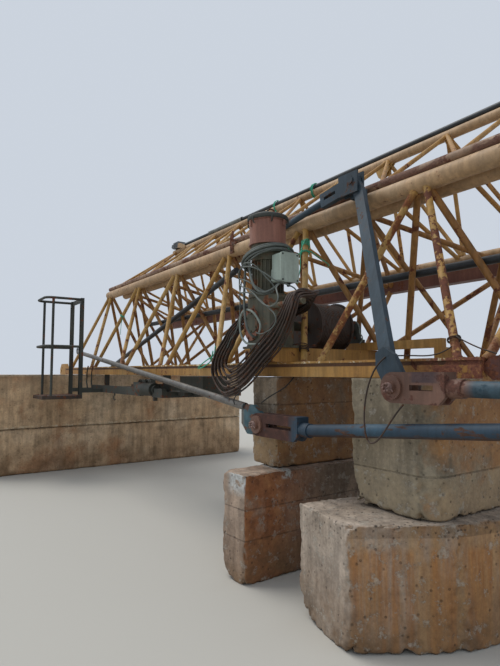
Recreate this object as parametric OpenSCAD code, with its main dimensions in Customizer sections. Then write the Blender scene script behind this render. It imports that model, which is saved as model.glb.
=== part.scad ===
// A tower crane taken apart and stored on its own concrete ballast blocks.
// The main piece is the foot section of the jib, a lattice of three chords, with the hoist
// winch built into it, the trolley with its service basket hung below it, the tie bars laid
// along it, a lighter jib section on top and a sister section leaning behind.
// X runs along the jib, away from its foot. Y runs across it, the basket is on the -Y side.
// Z is up from the ground. The origin is on the ground under the middle stack of blocks.

/* [Jib section] */
// Length of one bay of the lattice
bay = 1150; // [1100:10:1200]
// Distance between the centre lines of the two bottom chords
jib_w = 900; // [880:5:930]
// Height from the centre of the bottom chords to the axis of the top chord
jib_h = 1175; // [1160:5:1200]
// Outside diameter of the top chord tube
top_d = 120; // [112:1:126]
// Wall of the top chord tube
top_wall = 8; // [5:1:10]
// Height of a bottom chord, flange included
chord_h = 100; // [90:1:105]
// Width of a bottom chord over its top flange
chord_w = 100; // [90:1:105]
// Thickness of the top flange of a bottom chord
flange_t = 14; // [10:1:18]
// Depth of the groove under the top flange
groove = 14; // [8:1:18]
// Diameter of the web bars of the main section
web_d = 46; // [38:1:50]
// Diameter of the bracing bars between the bottom chords
brace_d = 32; // [26:1:34]
// Distance from a bottom node to the foot of each of its two web bars
foot_gap = 60; // [45:1:70]
// Distance from a top node to the head of each of its two web bars
head_gap = 28; // [20:1:36]

/* [Lugs] */
// Length of the lug plate on a chord's end
lug_l = 400; // [360:5:420]
// Height of the lug plates at the foot of the jib
foot_lug_h = 230; // [200:5:250]
// Height of the lug plates at the outer end
end_lug_h = 110; // [100:1:130]
// Thickness of a lug plate
lug_t = 40; // [30:1:44]
// Bore of the lugs for the section pins
pin_bore = 50; // [40:1:60]

/* [Trolley] */
// Width of the running rail inside each bottom chord
rail_w = 55; // [50:1:60]
// Thickness of the running rail
rail_t = 8; // [6:1:10]
// Diameter of the trolley wheels
wheel_d = 54; // [48:1:56]
// Width of the trolley wheels
wheel_w = 36; // [30:1:40]
// Length of the trolley frame along the jib
trolley_l = 2280; // [2200:10:2300]
// Depth of the trolley's side beams
trolley_beam_h = 90; // [80:1:100]
// Height of the gap between the bottom chords and the trolley's side beams
trolley_drop = 140; // [130:1:150]
// Diameter of the rope sheaves in the trolley
sheave_d = 220; // [200:5:240]
// Diameter of the small drum beside the trolley's front beam
tension_drum_d = 140; // [120:5:150]

/* [Service basket] */
// Length of the basket along the jib
basket_l = 505; // [480:5:520]
// Width of the basket across the jib
basket_w = 486; // [460:2:500]
// Height of the handrail over the basket's floor
basket_h = 1230; // [1180:10:1260]
// Height of the knee rail over the basket's floor
knee_h = 620; // [560:10:680]
// Diameter of the outer posts and rails
rail_d = 32; // [28:1:36]

/* [Hoist winch] */
// Diameter of the rope wound on the drum
drum_d = 354; // [330:2:360]
// Diameter of the drum's flanges
drum_flange_d = 384; // [370:2:390]
// Length of the drum between its flanges
drum_l = 290; // [270:2:296]
// Height of the drum's axis over the top of the bottom chords
drum_over = 266; // [262:1:276]
// Width of the gearbox along the jib
gear_w = 330; // [310:2:340]
// Depth of the gearbox across the jib
gear_d = 210; // [190:2:220]
// Diameter of the upright motor
motor_d = 240; // [220:2:250]
// Diameter of the brake cover on top of the motor
cover_d = 262; // [250:2:270]
// Height of the brake cover
cover_h = 186; // [170:2:200]

/* [Tie bars] */
// Diameter of the heavy tie bars
tie_d = 72; // [64:1:76]
// Diameter of the light tie bar that slopes to the basket
slope_tie_d = 56; // [50:1:60]
// Width of the flat hanger bar
hanger_w = 84; // [76:1:90]
// Thickness of the flat hanger bar
hanger_t = 34; // [30:1:38]
// Diameter of the pins in the forks
tie_pin_d = 50; // [44:1:54]
// Diameter of the pins' washers
pin_head_d = 118; // [110:2:124]
// Height of the forks' cheeks
fork_h = 150; // [140:2:156]

/* [Upper section] */
// Diameter of its two lower chords
upper_chord_d = 60; // [54:1:66]
// Diameter of its top chord
apex_d = 76; // [70:1:82]
// Diameter of its web bars
upper_web_d = 32; // [28:1:36]
// Diameter of the long pipe tied on its top chord
top_pipe_d = 44; // [38:1:48]

/* [Ballast blocks] */
// Height from the ground to the underside of the jib
support_h = 1300; // [1280:5:1320]
// Height of the lower course of the wall and of the right stack
course_h = 600; // [560:5:640]
// Height of the lower block of the middle stack
mid_course_h = 680; // [640:5:720]
// Length of the wall across the jib
wall_l = 3900; // [3600:50:4200]
// Thickness of the wall
wall_t = 750; // [700:10:800]

/* [Hidden] */

lead_d = 14;
thin_d = 8;
tail_d = 20;
wire_d = 9;

function unit(v) = v / norm(v);
function curve(a, b, c, d, t) =
  pow(1 - t, 3) * a + 3 * t * pow(1 - t, 2) * b + 3 * t * t * (1 - t) * c + t * t * t * d;
function way(w, n) = [for (k = [0 : n]) curve(w[0], w[1], w[2], w[3], k / n)];

// Clearance between pieces that lie on or beside each other
gap = 0.3;
// Running clearance round what turns or slides
run = 6;
bar_sides = 8;
top_nodes = 6;
// The top node over the winch stands this far from the middle stack
node4_x = -230;

chord_z = support_h + chord_h / 2 + gap;
top_z = chord_z + jib_h;
half_w = jib_w / 2;
groove_h = 20;
chord_top = chord_z + chord_h / 2;
chord_under = chord_z - chord_h / 2;

function tx(i) = node4_x + (i - 4) * bay;
function bx(i) = node4_x + (i - 3.5) * bay;

foot_x = bx(-1) - foot_gap - 20;
end_x = bx(5) + foot_gap + 20;
pipe_end_x = tx(6) + 90;

// Winch places
drum_z = chord_top + drum_over;
winch_x = node4_x + 260;
motor_x = winch_x - 60;
motor_y = -half_w - 63;
beam_h = 96;
beam_w = 60;
peg_x = winch_x + 380;
peg_z = drum_z + 119;
peg_d = 40;
gear_z0 = chord_top + gap + beam_h + gap;
gear_z1 = gear_z0 + 358;
gear_y0 = motor_y - 127;
gear_y1 = gear_y0 + gear_d;
drum_y0 = -220;
drum_y1 = drum_y0 + drum_l + 2 * 12;
bearing_y = 300;
motor_z0 = gear_z1 + gap;
motor_h = 384;
box_x0 = motor_x + motor_d / 2 + 25;
box_y0 = motor_y - 70;
box_z0 = motor_z0 + 90;
box_t = 90;
box_w = 150;
box_h = 200;
cover_z0 = motor_z0 + motor_h + gap;
rail_z0 = chord_top + gap + beam_h + gap;
rail_h = 60;

// Trolley places
wall_x1 = tx(0) + 470;
wheel_y = half_w - chord_w / 2 + 5 - run - wheel_w / 2;
rail_y1 = half_w - chord_w / 2 + 5 - gap;
trolley_x0 = wall_x1 + 200;
trolley_x1 = trolley_x0 + trolley_l;
trolley_z1 = support_h - trolley_drop;
trolley_z0 = trolley_z1 - trolley_beam_h;
side_y = rail_y1 - rail_w - run - 5;
wheel_z = chord_under + rail_t + gap + wheel_d / 2;
basket_x0 = trolley_x0 - 62;
basket_x1 = basket_x0 + basket_l;
basket_y1 = -half_w - 286;
basket_y0 = basket_y1 - basket_w;
basket_z0 = trolley_z0 - 76;
strap_way = [[basket_x1 - 30, trolley_z0 + 45], [basket_x1 - 75, trolley_z0 + 130],
             [basket_x1 - 70, trolley_z0 + 260], [basket_x1 - 25, trolley_z0 + 340]];
post_w = 60;
post_d = 40;
plate_x = trolley_x1 - 755;
hook_x = trolley_x0 + 860;
sheave_x = trolley_x0 + 700;
sheave_z = trolley_z0 + 60;
sheave_bore = 30;
corner_r = 90;

// Tie bar places
clevis_x = bx(5) - 267;
clevis_y = -half_w - 196;
clevis_z = support_h - 44;
hang_x = clevis_x - 773;
hang_y = -top_d / 2 - 62;
hang_z = top_z + 130;
fork_x = node4_x + 312;
fork_y = -half_w - 196;
fork_z = support_h - 318;
slope_x0 = fork_x - 5041;
slope_y0 = -half_w + 6;
slope_z0 = support_h + 334;

// Upper section places
front_z = top_z + top_d / 2 + upper_chord_d / 2 + gap;
apex_y = 690;
apex_z = top_z + 602;
upper_x0 = tx(0);
upper_x1 = pipe_end_x;
half_bay = bay / 2;
apex_x0 = upper_x0 + 245 + half_bay;

pipe_low_z = chord_top + gap + 31;

// Sister section places
sister_y = 125;
sister_top_z = top_z - 36;
sister_low_y = half_w + 125;
outer_y = 1080;
outer_z = top_z - 415;
sister_bar_d = 40;
rear_y = 945;
sister_slope = atan2(sister_top_z - outer_z, outer_y - sister_y);
rear_z = sister_top_z - (rear_y - sister_y) * tan(sister_slope)
  + (sister_bar_d / 2 + upper_chord_d / 2 + gap) / cos(sister_slope);

// Round points of the cords, each a curve with two pulls
lead_way = [[winch_x + 60, -190, drum_z + 181], [winch_x + 205, -250, drum_z + 235],
            [peg_x + 45, gear_y0 - 28, peg_z + 130], [peg_x + 45, gear_y0 - 28, peg_z - 22]];
coil_z = motor_z0 + motor_h - 93;
coil_r = 168;
coil_d = 60;
coil_tilt = 20;
tail_way = [[motor_x - 107, motor_y - 124.5, coil_z - 70.6], [motor_x - 74, motor_y - 159, coil_z - 264],
            [motor_x + 40, gear_y0 - 130, gear_z0 + 75], [motor_x + 40, gear_y0 - 2.6, gear_z0 + 75]];
loop_way = [[motor_x + 10.5, motor_y - coil_r, coil_z - 29.2], [motor_x + 88, motor_y - 228, coil_z - 240],
            [box_x0 + 45, motor_y - 210, box_z0 - 160], [box_x0 + 45, motor_y - 47, box_z0 - 7.8]];
thin_way = [[peg_x - 450, gear_y0 - 28, peg_z - 535.4], [peg_x - 520, gear_y0 - 52, peg_z - 600],
            [peg_x - 640, gear_y0 - 64, peg_z - 630], [peg_x - 625, gear_y0 - 34.6, peg_z - 687]];
wire_way = [[clevis_x - 60, clevis_y - 20.7, clevis_z + 150], [clevis_x - 170, clevis_y - 90, clevis_z + 60],
            [clevis_x - 190, clevis_y - 66, clevis_z - 270], [clevis_x - 130, clevis_y - 66, clevis_z - 280],
            [clevis_x - 70, clevis_y - 66, clevis_z - 290], [clevis_x - 20, clevis_y - 62, clevis_z - 170],
            [clevis_x + 60, clevis_y - 40, clevis_z - 80.2]];

// Block places
wall_y0 = -1800;
stack_y1 = 700;
mid_x0 = -190;
mid_x1 = 100;
stack_y0 = -540;
mid_low_front = [[182, -857], [-72, -867]];
right_x0 = 797;
right_x1 = 1336;
right_cut = 80;
right_low_at = [1113, -128, 0];
right_low_turn = -12;
right_low_l = 1500;
right_low_w = 690;
right_low_cut = [200, 520];

module bar(a, b, d) {
  v = b - a;
  len = norm(v);
  translate(a)
    rotate([0, acos(v[2] / len), atan2(v[1], v[0])])
      cylinder(h = len, d = d, $fn = bar_sides);
}

module round_bar(a, b, d) {
  v = b - a;
  len = norm(v);
  translate(a)
    rotate([0, acos(v[2] / len), atan2(v[1], v[0])])
      cylinder(h = len, d = d, $fn = 48);
}

module tube_x(x0, x1, y, z, d, wall) {
  translate([x0, y, z])
    rotate([0, 90, 0])
      difference() {
        cylinder(h = x1 - x0, d = d, $fn = 48);
        translate([0, 0, -1])
          cylinder(h = x1 - x0 + 2, d = d - 2 * wall, $fn = 48);
      }
}

module rod_x(x0, x1, y, z, d) {
  translate([x0, y, z])
    rotate([0, 90, 0])
      cylinder(h = x1 - x0, d = d, $fn = 48);
}

module pin_y(x, y0, y1, z, d) {
  translate([x, y1, z])
    rotate([90, 0, 0])
      cylinder(h = y1 - y0, d = d, $fn = 48);
}

module block(x0, x1, y0, y1, z0, z1) {
  translate([x0, y0, z0])
    cube([x1 - x0, y1 - y0, z1 - z0]);
}

// Outline of a bottom chord: a box with a groove under its top flange
module chord_outline(grow = 0) {
  b = chord_w / 2 + grow;
  n = b - groove;
  z0 = -chord_h / 2 - grow;
  z1 = chord_h / 2 + grow;
  zf = chord_h / 2 - flange_t;
  zg = zf - groove_h;
  polygon([[-b + 5, z0], [b - 5, z0], [b - 5, zg], [n, zg], [n, zf], [b, zf],
           [b, z1], [-b, z1], [-b, zf], [-n, zf], [-n, zg], [-b + 5, zg]]);
}

module chord_x(x0, x1, y, z) {
  translate([x0, y, z])
    rotate([90, 0, 90])
      linear_extrude(x1 - x0)
        chord_outline();
}

// What web bars keep clear of: a chord's block with the seating clearance
module chord_room(y) {
  block(foot_x - bay, end_x + bay, y - chord_w / 2 - gap, y + chord_w / 2 + gap,
        chord_under - 200, chord_top + gap);
}

module tube_room(y, z, d) {
  rod_x(tx(0) - bay, tx(6) + bay, y, z, d + 2 * gap);
}

module side_web(s) {
  difference() {
    union() {
      for (i = [0 : top_nodes]) {
        bar([tx(i) - head_gap, 0, top_z], [bx(i - 1) + foot_gap, s * half_w, chord_z], web_d);
        if (i < top_nodes)
          bar([tx(i) + head_gap, 0, top_z], [bx(i) - foot_gap, s * half_w, chord_z], web_d);
      }
    }
    chord_room(s * half_w);
    tube_room(0, top_z, top_d);
    block(tx(0) - bay, tx(6) + bay, s > 0 ? -200 : -0.15, s > 0 ? 0.15 : 200,
          top_z - 400, top_z + 200);
  }
}

module top_chord() {
  color("goldenrod")
    tube_x(tx(0) - 60, pipe_end_x, 0, top_z, top_d, top_wall);
}

module bottom_chord(s) {
  color("orange")
    chord_x(foot_x, end_x, s * half_w, chord_z);
}

module front_bottom_chord() { bottom_chord(-1); }
module rear_bottom_chord() { bottom_chord(1); }

module running_rail(s) {
  y0 = s > 0 ? rail_y1 - rail_w : -rail_y1;
  color("saddlebrown")
    block(foot_x, end_x, y0, y0 + rail_w, chord_under, chord_under + rail_t);
}

module front_rail() { running_rail(-1); }
module rear_rail() { running_rail(1); }

module front_web() {
  color("orange")
    side_web(-1);
}

module rear_web() {
  color("orange")
    side_web(1);
}

// Cross bars and diagonals between the bottom chords
module bottom_bracing() {
  y = half_w - chord_w / 2 + 5 - gap;
  z = chord_top - brace_d / 2;
  color("darkorange")
    intersection() {
      union()
        for (i = [-1 : 5]) {
          bar([bx(i), -half_w, z], [bx(i), half_w, z], brace_d);
          if (i < 5)
            bar([bx(i), (i % 2 == 0 ? 1 : -1) * half_w, z],
                [bx(i + 1), (i % 2 == 0 ? -1 : 1) * half_w, z], brace_d);
        }
      block(foot_x - bay, end_x + bay, -half_w + chord_w / 2 + gap,
            half_w - chord_w / 2 - gap, z - 50, z + 50);
    }
}

// A lug plate with cut corners, its length along X, with one bore near its free end
module lug(x0, x1, y, z, h, t, bore_x) {
  c = h / 3;
  difference() {
    translate([0, y + t / 2, z])
      rotate([90, 0, 0])
        linear_extrude(t)
          polygon([[x0 + c, -h / 2], [x1 - c, -h / 2], [x1, -h / 2 + c], [x1, h / 2 - c],
                   [x1 - c, h / 2], [x0 + c, h / 2], [x0, h / 2 - c], [x0, -h / 2 + c]]);
    pin_y(bore_x, y - t, y + t, z, pin_bore);
  }
}

module foot_lug(s) {
  color("gold")
    lug(foot_x - gap - lug_l, foot_x - gap, s * half_w, chord_z, foot_lug_h, lug_t,
        foot_x - gap - lug_l + 90);
}

module end_lug(s) {
  color("brown")
    lug(end_x + gap, end_x + gap + lug_l, s * half_w, chord_z, end_lug_h, lug_t,
        end_x + gap + lug_l - 70);
}

module front_foot_lug() { foot_lug(-1); }
module rear_foot_lug() { foot_lug(1); }
module front_end_lug() { end_lug(-1); }
module rear_end_lug() { end_lug(1); }

module top_end_lug() {
  x0 = pipe_end_x + gap;
  color("goldenrod")
    union() {
      rod_x(x0, x0 + 16, 0, top_z, top_d);
      lug(x0 + 10, x0 + 190, 0, top_z, 104, lug_t, x0 + 130);
    }
}

// Cross beams on the bottom chords, a deck for the gearbox and the rail of the far bearing
module winch_frame() {
  z0 = chord_top + gap;
  color("darkorange")
    union() {
      for (x = [winch_x - 104 - beam_w, winch_x + 104])
        block(x, x + beam_w, gear_y0, half_w + 40, z0, z0 + beam_h);
      block(winch_x - 70, winch_x + 810, bearing_y - 30, bearing_y + 20, z0 + beam_h - 1,
            z0 + beam_h + rail_h);
      block(winch_x + 750, winch_x + 810, bearing_y - 30, half_w + 40, z0, z0 + beam_h);
    }
}

// Half the outline of rope wound turn beside turn, out to the radius r over the length l
module wound_turns(r, l, d) {
  n = floor((l - 4) / (d + 1));
  pitch = (l - 2) / n;
  square([r - d / 2, l]);
  for (k = [0 : n - 1])
    translate([r - d / 2, 1 + pitch * (k + 0.5)])
      circle(d = d, $fn = 24);
}

module drum() {
  shaft_r = 30;
  color("sienna")
    union() {
      pin_y(winch_x, drum_y0, drum_y0 + 12, drum_z, drum_flange_d);
      translate([winch_x, drum_y0 + 11, drum_z])
        rotate([-90, 0, 0])
          rotate_extrude($fn = 96)
            wound_turns(drum_d / 2, drum_l + 2, lead_d);
      pin_y(winch_x, drum_y1 - 12, drum_y1, drum_z, drum_flange_d);
      pin_y(winch_x, drum_y1 - 1, bearing_y - 30 + 20, drum_z, 2 * shaft_r);
    }
}

// A split bearing block: foot, arch, cap bolts
module drum_bearing() {
  z0 = rail_z0 + rail_h;
  color("dimgray")
    difference() {
      union() {
        block(winch_x - 100, winch_x + 100, bearing_y - 30, bearing_y + 10, z0, z0 + 26);
        block(winch_x - 62, winch_x + 62, bearing_y - 30, bearing_y + 10, z0, drum_z);
        pin_y(winch_x, bearing_y - 30, bearing_y + 10, drum_z, 124);
        for (x = [-84, 84])
          translate([winch_x + x, bearing_y - 10, z0 + 25])
            cylinder(h = 14, d = 24, $fn = 6);
      }
      pin_y(winch_x, bearing_y - 40, bearing_y + 20, drum_z, 60 + 1);
    }
}

// Cast housing on a base plate, with a bolted round cover and the arm that the rope hangs from
module gearbox() {
  x0 = winch_x - gear_w / 2;
  x1 = winch_x + gear_w / 2;
  c = 36;
  color("darkkhaki")
    union() {
      translate([0, 0, gear_z0 + 15])
        linear_extrude(gear_z1 - gear_z0 - 15)
          polygon([[x0 + c, gear_y0], [x1 - c, gear_y0], [x1, gear_y0 + c], [x1, gear_y1 - c],
                   [x1 - c, gear_y1], [x0 + c, gear_y1], [x0, gear_y1 - c], [x0, gear_y0 + c]]);
      block(x0 - 30, x1 + 20, gear_y0, gear_y1, gear_z0, gear_z0 + 16);
      for (z = [gear_z0 + 150, gear_z1 - 22])
        block(x0 - 8, x1 + 8, gear_y0 + c, gear_y1 - c, z, z + 20);
      pin_y(winch_x - 66, gear_y0 - 16, gear_y0 + 1, drum_z + 12, 150);
      for (a = [30 : 60 : 330])
        pin_y(winch_x - 66 + 62 * cos(a), gear_y0 - 24, gear_y0 - 15, drum_z + 12 + 62 * sin(a), 15);
      pin_y(winch_x, gear_y1 - 1, drum_y0 - run, drum_z, 70);
      rod_x(x1 - 1 - c, peg_x + 80, gear_y0 + peg_d / 2, peg_z - 10, peg_d);
    }
}

// Upright motor: flange with bolts, ribs round the body, end bell under the cover
module motor() {
  color("slategray")
    translate([motor_x, motor_y, motor_z0])
      union() {
        cylinder(h = 26, d = motor_d + 40, $fn = 48);
        cylinder(h = motor_h, d = motor_d - 34, $fn = 48);
        for (k = [0 : 23])
          rotate([0, 0, 15 * k])
            translate([motor_d / 2 - 40, -3.5, 25])
              cube([36, 7, 245]);
        translate([0, 0, 266])
          cylinder(h = motor_h - 266, d = motor_d, $fn = 48);
        for (k = [0 : 7])
          rotate([0, 0, 45 * k + 22.5])
            translate([motor_d / 2 + 6, 0, 25])
              cylinder(h = 14, d = 22, $fn = 6);
      }
}

// Round cover of the brake, with a wider cap, a lifting eye plate and three clips
module brake_cover() {
  color("firebrick")
    translate([motor_x, motor_y, cover_z0])
      union() {
        cylinder(h = cover_h - 10, d = cover_d, $fn = 48);
        cylinder(h = 14, d = cover_d + 12, $fn = 48);
        translate([0, 0, cover_h - 12])
          cylinder(h = 14, d = cover_d + 16, $fn = 48);
        translate([0, 0, cover_h + 1])
          cylinder(h = 12, d = cover_d - 30, $fn = 48);
        for (a = [20, 140, 260])
          rotate([0, 0, a])
            translate([cover_d / 2 - 4, -9, cover_h - 52])
              cube([16, 18, 44]);
      }
}

// Moulded box with round corners and a lid, on a foot shaped to the motor
module terminal_box() {
  r = 16;
  color("lightseagreen")
    difference() {
      union() {
        translate([box_x0, box_y0, box_z0])
          rotate([90, 0, 90])
            linear_extrude(box_t)
              union() {
                translate([r, 0])
                  square([box_w - 2 * r, box_h]);
                translate([0, r])
                  square([box_w, box_h - 2 * r]);
                for (u = [r, box_w - r])
                  for (v = [r, box_h - r])
                    translate([u, v])
                      circle(r = r, $fn = 24);
              }
        block(motor_x, box_x0 + 1, motor_y - 50, motor_y + 50, box_z0 + 20, box_z0 + 100);
      }
      translate([motor_x, motor_y, box_z0 - 10])
        cylinder(h = 240, d = motor_d - 8 + 2 * gap, $fn = 48);
    }
}

// Small open hook on an eye under the front beam
module trolley_hook(x, y) {
  r = 30;
  block(x - 8, x + 8, y - 8, y + 8, trolley_z0 - 24, trolley_z0 + 5);
  translate([x, y, trolley_z0 - 24 - r])
    rotate([90, 0, 0])
      rotate([0, 0, 80])
        rotate_extrude(angle = 250, $fn = 48)
          translate([r, 0])
            circle(d = 14, $fn = 24);
}

module trolley_frame() {
  y0 = -half_w - 30;
  color("dimgray")
    union() {
      for (s = [-1, 1]) {
        block(trolley_x0, s > 0 ? trolley_x1 : plate_x, s > 0 ? half_w - 20 : y0,
              s > 0 ? half_w + 30 : y0 + 50, trolley_z0, trolley_z1);
        for (x = [trolley_x0 + 200, trolley_x1 - 200])
          block(x - 90, x + 90, s > 0 ? side_y - 10 : -side_y, s > 0 ? side_y : -side_y + 10,
                trolley_z0 + 20, wheel_z + 12);
      }
      for (x = [trolley_x0, trolley_x0 + 160, trolley_x1 - 240, trolley_x1 - 80])
        block(x, x + 80, y0, -y0, trolley_z0, trolley_z0 + 60);
      for (x = [basket_x0, basket_x1 - post_w])
        block(x, x + post_w, basket_y1 + gap, y0 + 1, trolley_z0, trolley_z0 + 50);
      block(basket_x0, trolley_x0 + 1, y0, y0 + 50, trolley_z0, trolley_z0 + 50);
      block(trolley_x0 + 1, trolley_x0 + 239, -half_w, -half_w + 30, trolley_z0, trolley_z0 + 50);
      for (y = [-80, 70])
        difference() {
          block(sheave_x - 260, sheave_x + 60, y, y + 10, trolley_z0, sheave_z + 40);
          pin_y(sheave_x, y - 1, y + 5, sheave_z, 20);
        }
      block(sheave_x - 260, sheave_x - 200, -80, 80, trolley_z0, trolley_z0 + 40);
      for (y = [-1, 1])
        block(trolley_x0 + 230, sheave_x - 230, y * 75 - 15, y * 75 + 15, trolley_z0, trolley_z0 + 40);
      pin_y(sheave_x, -71, 71, sheave_z, sheave_bore - 0.1);
      for (y = [-300, -130])
        block(trolley_x1 - 80, trolley_x1 + 140, y, y + 40, trolley_z0 + 20, trolley_z0 + 60);
      block(trolley_x1 + 105, trolley_x1 + 575, -330, -60, trolley_z0 + 59, support_h - 10);
      block(plate_x - 10, plate_x + 200, y0, y0 + 14, trolley_z0, trolley_z1 + 60);
      block(trolley_x1 - 242, trolley_x1, y0, y0 + 50, trolley_z0, trolley_z1);
      rod_x(plate_x + 100, trolley_x1 - 200, y0 + 30, trolley_z0 + 77, 90);
      rod_x(plate_x + 140, trolley_x1 - 240, y0 + 30, trolley_z0 + 77, tension_drum_d);
      block(trolley_x1 - 215, trolley_x1 - 190, y0, y0 + 40, trolley_z0 - 38, trolley_z1 + 5);
      trolley_hook(hook_x, y0 + 20);
      for (y = [76, 136])
        for (k = [0 : 2])
          bar([strap_way[k][0], basket_y1 + y, strap_way[k][1]],
              [strap_way[k + 1][0], basket_y1 + y, strap_way[k + 1][1]], 18);
    }
}

module trolley_wheels() {
  color("gray")
    for (s = [-1, 1])
      for (x = [trolley_x0 + 140, trolley_x0 + 260, trolley_x1 - 260, trolley_x1 - 140]) {
        ya = s > 0 ? wheel_y - wheel_w / 2 : -wheel_y - wheel_w / 2;
        pin_y(x, ya, ya + wheel_w, wheel_z, wheel_d);
        pin_y(x, s > 0 ? side_y + gap : -wheel_y, s > 0 ? wheel_y : -side_y - gap, wheel_z, 20);
      }
}

module trolley_sheaves() {
  r = sheave_d / 2;
  color("darkslategray")
    difference() {
      union() {
        pin_y(sheave_x, -60, 60, sheave_z, 70);
        for (y = [-60, 20])
          translate([sheave_x, y, sheave_z])
            rotate([-90, 0, 0])
              rotate_extrude($fn = 64)
                polygon([[20, 14], [r - 26, 14], [r - 20, 0], [r, 0], [r, 8], [r - 13, 15],
                         [r - 13, 25], [r, 32], [r, 40], [r - 20, 40], [r - 26, 26], [20, 26]]);
      }
      pin_y(sheave_x, -61, 61, sheave_z, sheave_bore);
    }
}

module basket_floor() {
  color("maroon")
    block(basket_x0, basket_x1, basket_y0, basket_y1, basket_z0, basket_z0 + 44);
}

// A horizontal rail with rounded outer corners, open on the jib's side
module u_rail(z) {
  xa = basket_x0 + rail_d / 2;
  xb = basket_x1 - rail_d / 2;
  ya = basket_y0 + rail_d / 2;
  yb = basket_y1 - post_d + 5;
  rod_x(xa + corner_r, xb - corner_r, ya, z, rail_d);
  pin_y(xa, ya + corner_r, yb, z, rail_d);
  pin_y(xb, ya + corner_r, yb, z, rail_d);
  translate([xa + corner_r, ya + corner_r, z])
    rotate([0, 0, 180])
      rotate_extrude(angle = 90, $fn = 48)
        translate([corner_r, 0])
          circle(d = rail_d, $fn = 24);
  translate([xb - corner_r, ya + corner_r, z])
    rotate([0, 0, 270])
      rotate_extrude(angle = 90, $fn = 48)
        translate([corner_r, 0])
          circle(d = rail_d, $fn = 24);
}

module basket_rails() {
  z0 = basket_z0 + 44 + gap;
  zt = z0 + basket_h;
  color("darkslategray")
    union() {
      for (x = [basket_x0, basket_x1 - post_w])
        difference() {
          block(x, x + post_w, basket_y1 - post_d, basket_y1, z0, zt + 20);
          block(x + 6, x + post_w - 6, basket_y1 - post_d - 1, basket_y1 - 6, z0 - 1, zt - 60);
        }
      for (x = [basket_x0 + rail_d / 2, basket_x1 - rail_d / 2])
        translate([x, basket_y0 + rail_d / 2 + corner_r, z0])
          cylinder(h = basket_h, d = rail_d, $fn = 24);
      u_rail(z0 + knee_h);
      u_rail(zt);
      block(basket_x0 + post_w - 1, basket_x1 - post_w + 1, basket_y1 - 26, basket_y1 - 20,
            zt - 40, zt + 20);
    }
}

// Two cheeks and a foot saddle on the big tube, the pin goes through them
module top_clevis() {
  color("lightsteelblue")
    difference() {
      union() {
        for (y = [hang_y + 22, hang_y - 36])
          block(hang_x - 120, hang_x + 60, y, y + 14, hang_z - 90, hang_z + 60);
        block(hang_x - 60, hang_x + 60, hang_y + 22, hang_y + 66, hang_z - 110, hang_z - 60);
        pin_y(hang_x, hang_y - 46, hang_y + 46, hang_z, tie_pin_d);
      }
      rod_x(hang_x - 100, hang_x + 100, 0, top_z, top_d + 2 * gap);
    }
}

module lying_tie_bar() {
  color("slategray")
    union() {
      translate([hang_x, hang_y, hang_z])
        rotate([0, -8, 0])
          difference() {
            block(-330, -62, -22 + gap, 22 - gap, -62, 44);
            block(-290, -170, -60, 60, -18, 6);
          }
      round_bar([hang_x - 320, hang_y + 12, hang_z - 54], [hang_x - 900, -top_d / 2 - 25 - gap, top_z], 50);
    }
}

// Flat bar between the top clevis and the lower pin, with a round eye at each end
module hanger_bar() {
  l = 110;
  w = [clevis_x - hang_x, 0, clevis_z - hang_z];
  n0 = [hang_x, hang_y, hang_z] + l * w / norm(w);
  n1 = [clevis_x, clevis_y, clevis_z] - l * w / norm(w);
  v = n1 - n0;
  color("steelblue")
    difference() {
      union() {
        pin_y(hang_x, hang_y - hanger_t / 2, hang_y + hanger_t / 2, hang_z, hanger_w + 16);
        pin_y(clevis_x, clevis_y - hanger_t / 2, clevis_y + hanger_t / 2, clevis_z, hanger_w + 16);
        flat_bar([hang_x, hang_y, hang_z], n0 + 8 * v / norm(v));
        flat_bar(n1 - 8 * v / norm(v), [clevis_x, clevis_y, clevis_z]);
        flat_bar(n0, n1);
        translate([clevis_x, clevis_y + hanger_t / 2 - 1, clevis_z])
          rotate([90, 0, 0])
            rotate([0, 0, atan2(-w[0], w[2]) + 180])
              linear_extrude(hanger_t - 2)
                polygon([[-60, -20], [60, -20], [66, 40], [66, 150], [30, 215], [-30, 215],
                         [-66, 150], [-66, 40]]);
      }
      pin_y(hang_x, hang_y - 60, hang_y + 60, hang_z, tie_pin_d + 0.6);
      pin_y(clevis_x, clevis_y - 60, clevis_y + 60, clevis_z, tie_pin_d + 0.6);
    }
}

module flat_bar(a, b) {
  v = b - a;
  translate(a)
    rotate([0, -atan2(v[0], -v[2]), 0])
      rotate([asin(v[1] / norm(v)), 0, 0])
        block(-hanger_w / 2, hanger_w / 2, -hanger_t / 2, hanger_t / 2, -norm(v), 0);
}

// A pin with a washer and a head on the side seen first, and a plain end behind
module tie_pin(x, y, z) {
  union() {
    pin_y(x, y - 56, y + 66, z, tie_pin_d);
    pin_y(x, y - 60, y - 46 - gap, z, pin_head_d);
    pin_y(x, y - 76, y - 57, z, 62);
    pin_y(x, y + 46 + gap, y + 54, z, tie_pin_d + 26);
  }
}

module clevis_pin() {
  color("rosybrown")
    tie_pin(clevis_x, clevis_y, clevis_z);
}

// Two cheeks with a long slot, round at the pin, joined by a block and a neck
module tie_fork(x, y, z, l) {
  difference() {
    union() {
      for (s = [-1, 1]) {
        pin_y(x, y + s * 34 - 12, y + s * 34 + 12, z, fork_h);
        difference() {
          block(x, x + l, y + s * 34 - 12, y + s * 34 + 12, z - fork_h / 2, z + fork_h / 2);
          translate([x + l, y, z - fork_h / 2])
            rotate([0, 45, 0])
              cube([50, 200, 50], center = true);
        }
      }
      block(x + l - 90, x + l, y - 46, y + 46, z - fork_h / 2 + 36, z + fork_h / 2);
      rod_x(x + l - 1, x + l + 70, y, z, tie_d + 14);
    }
    pin_y(x, y - 80, y + 80, z, tie_pin_d + 0.6);
    block(x + fork_h / 2 + 25, x + l - 60, y - 80, y + 80, z - 12, z + 14);
  }
}

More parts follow.
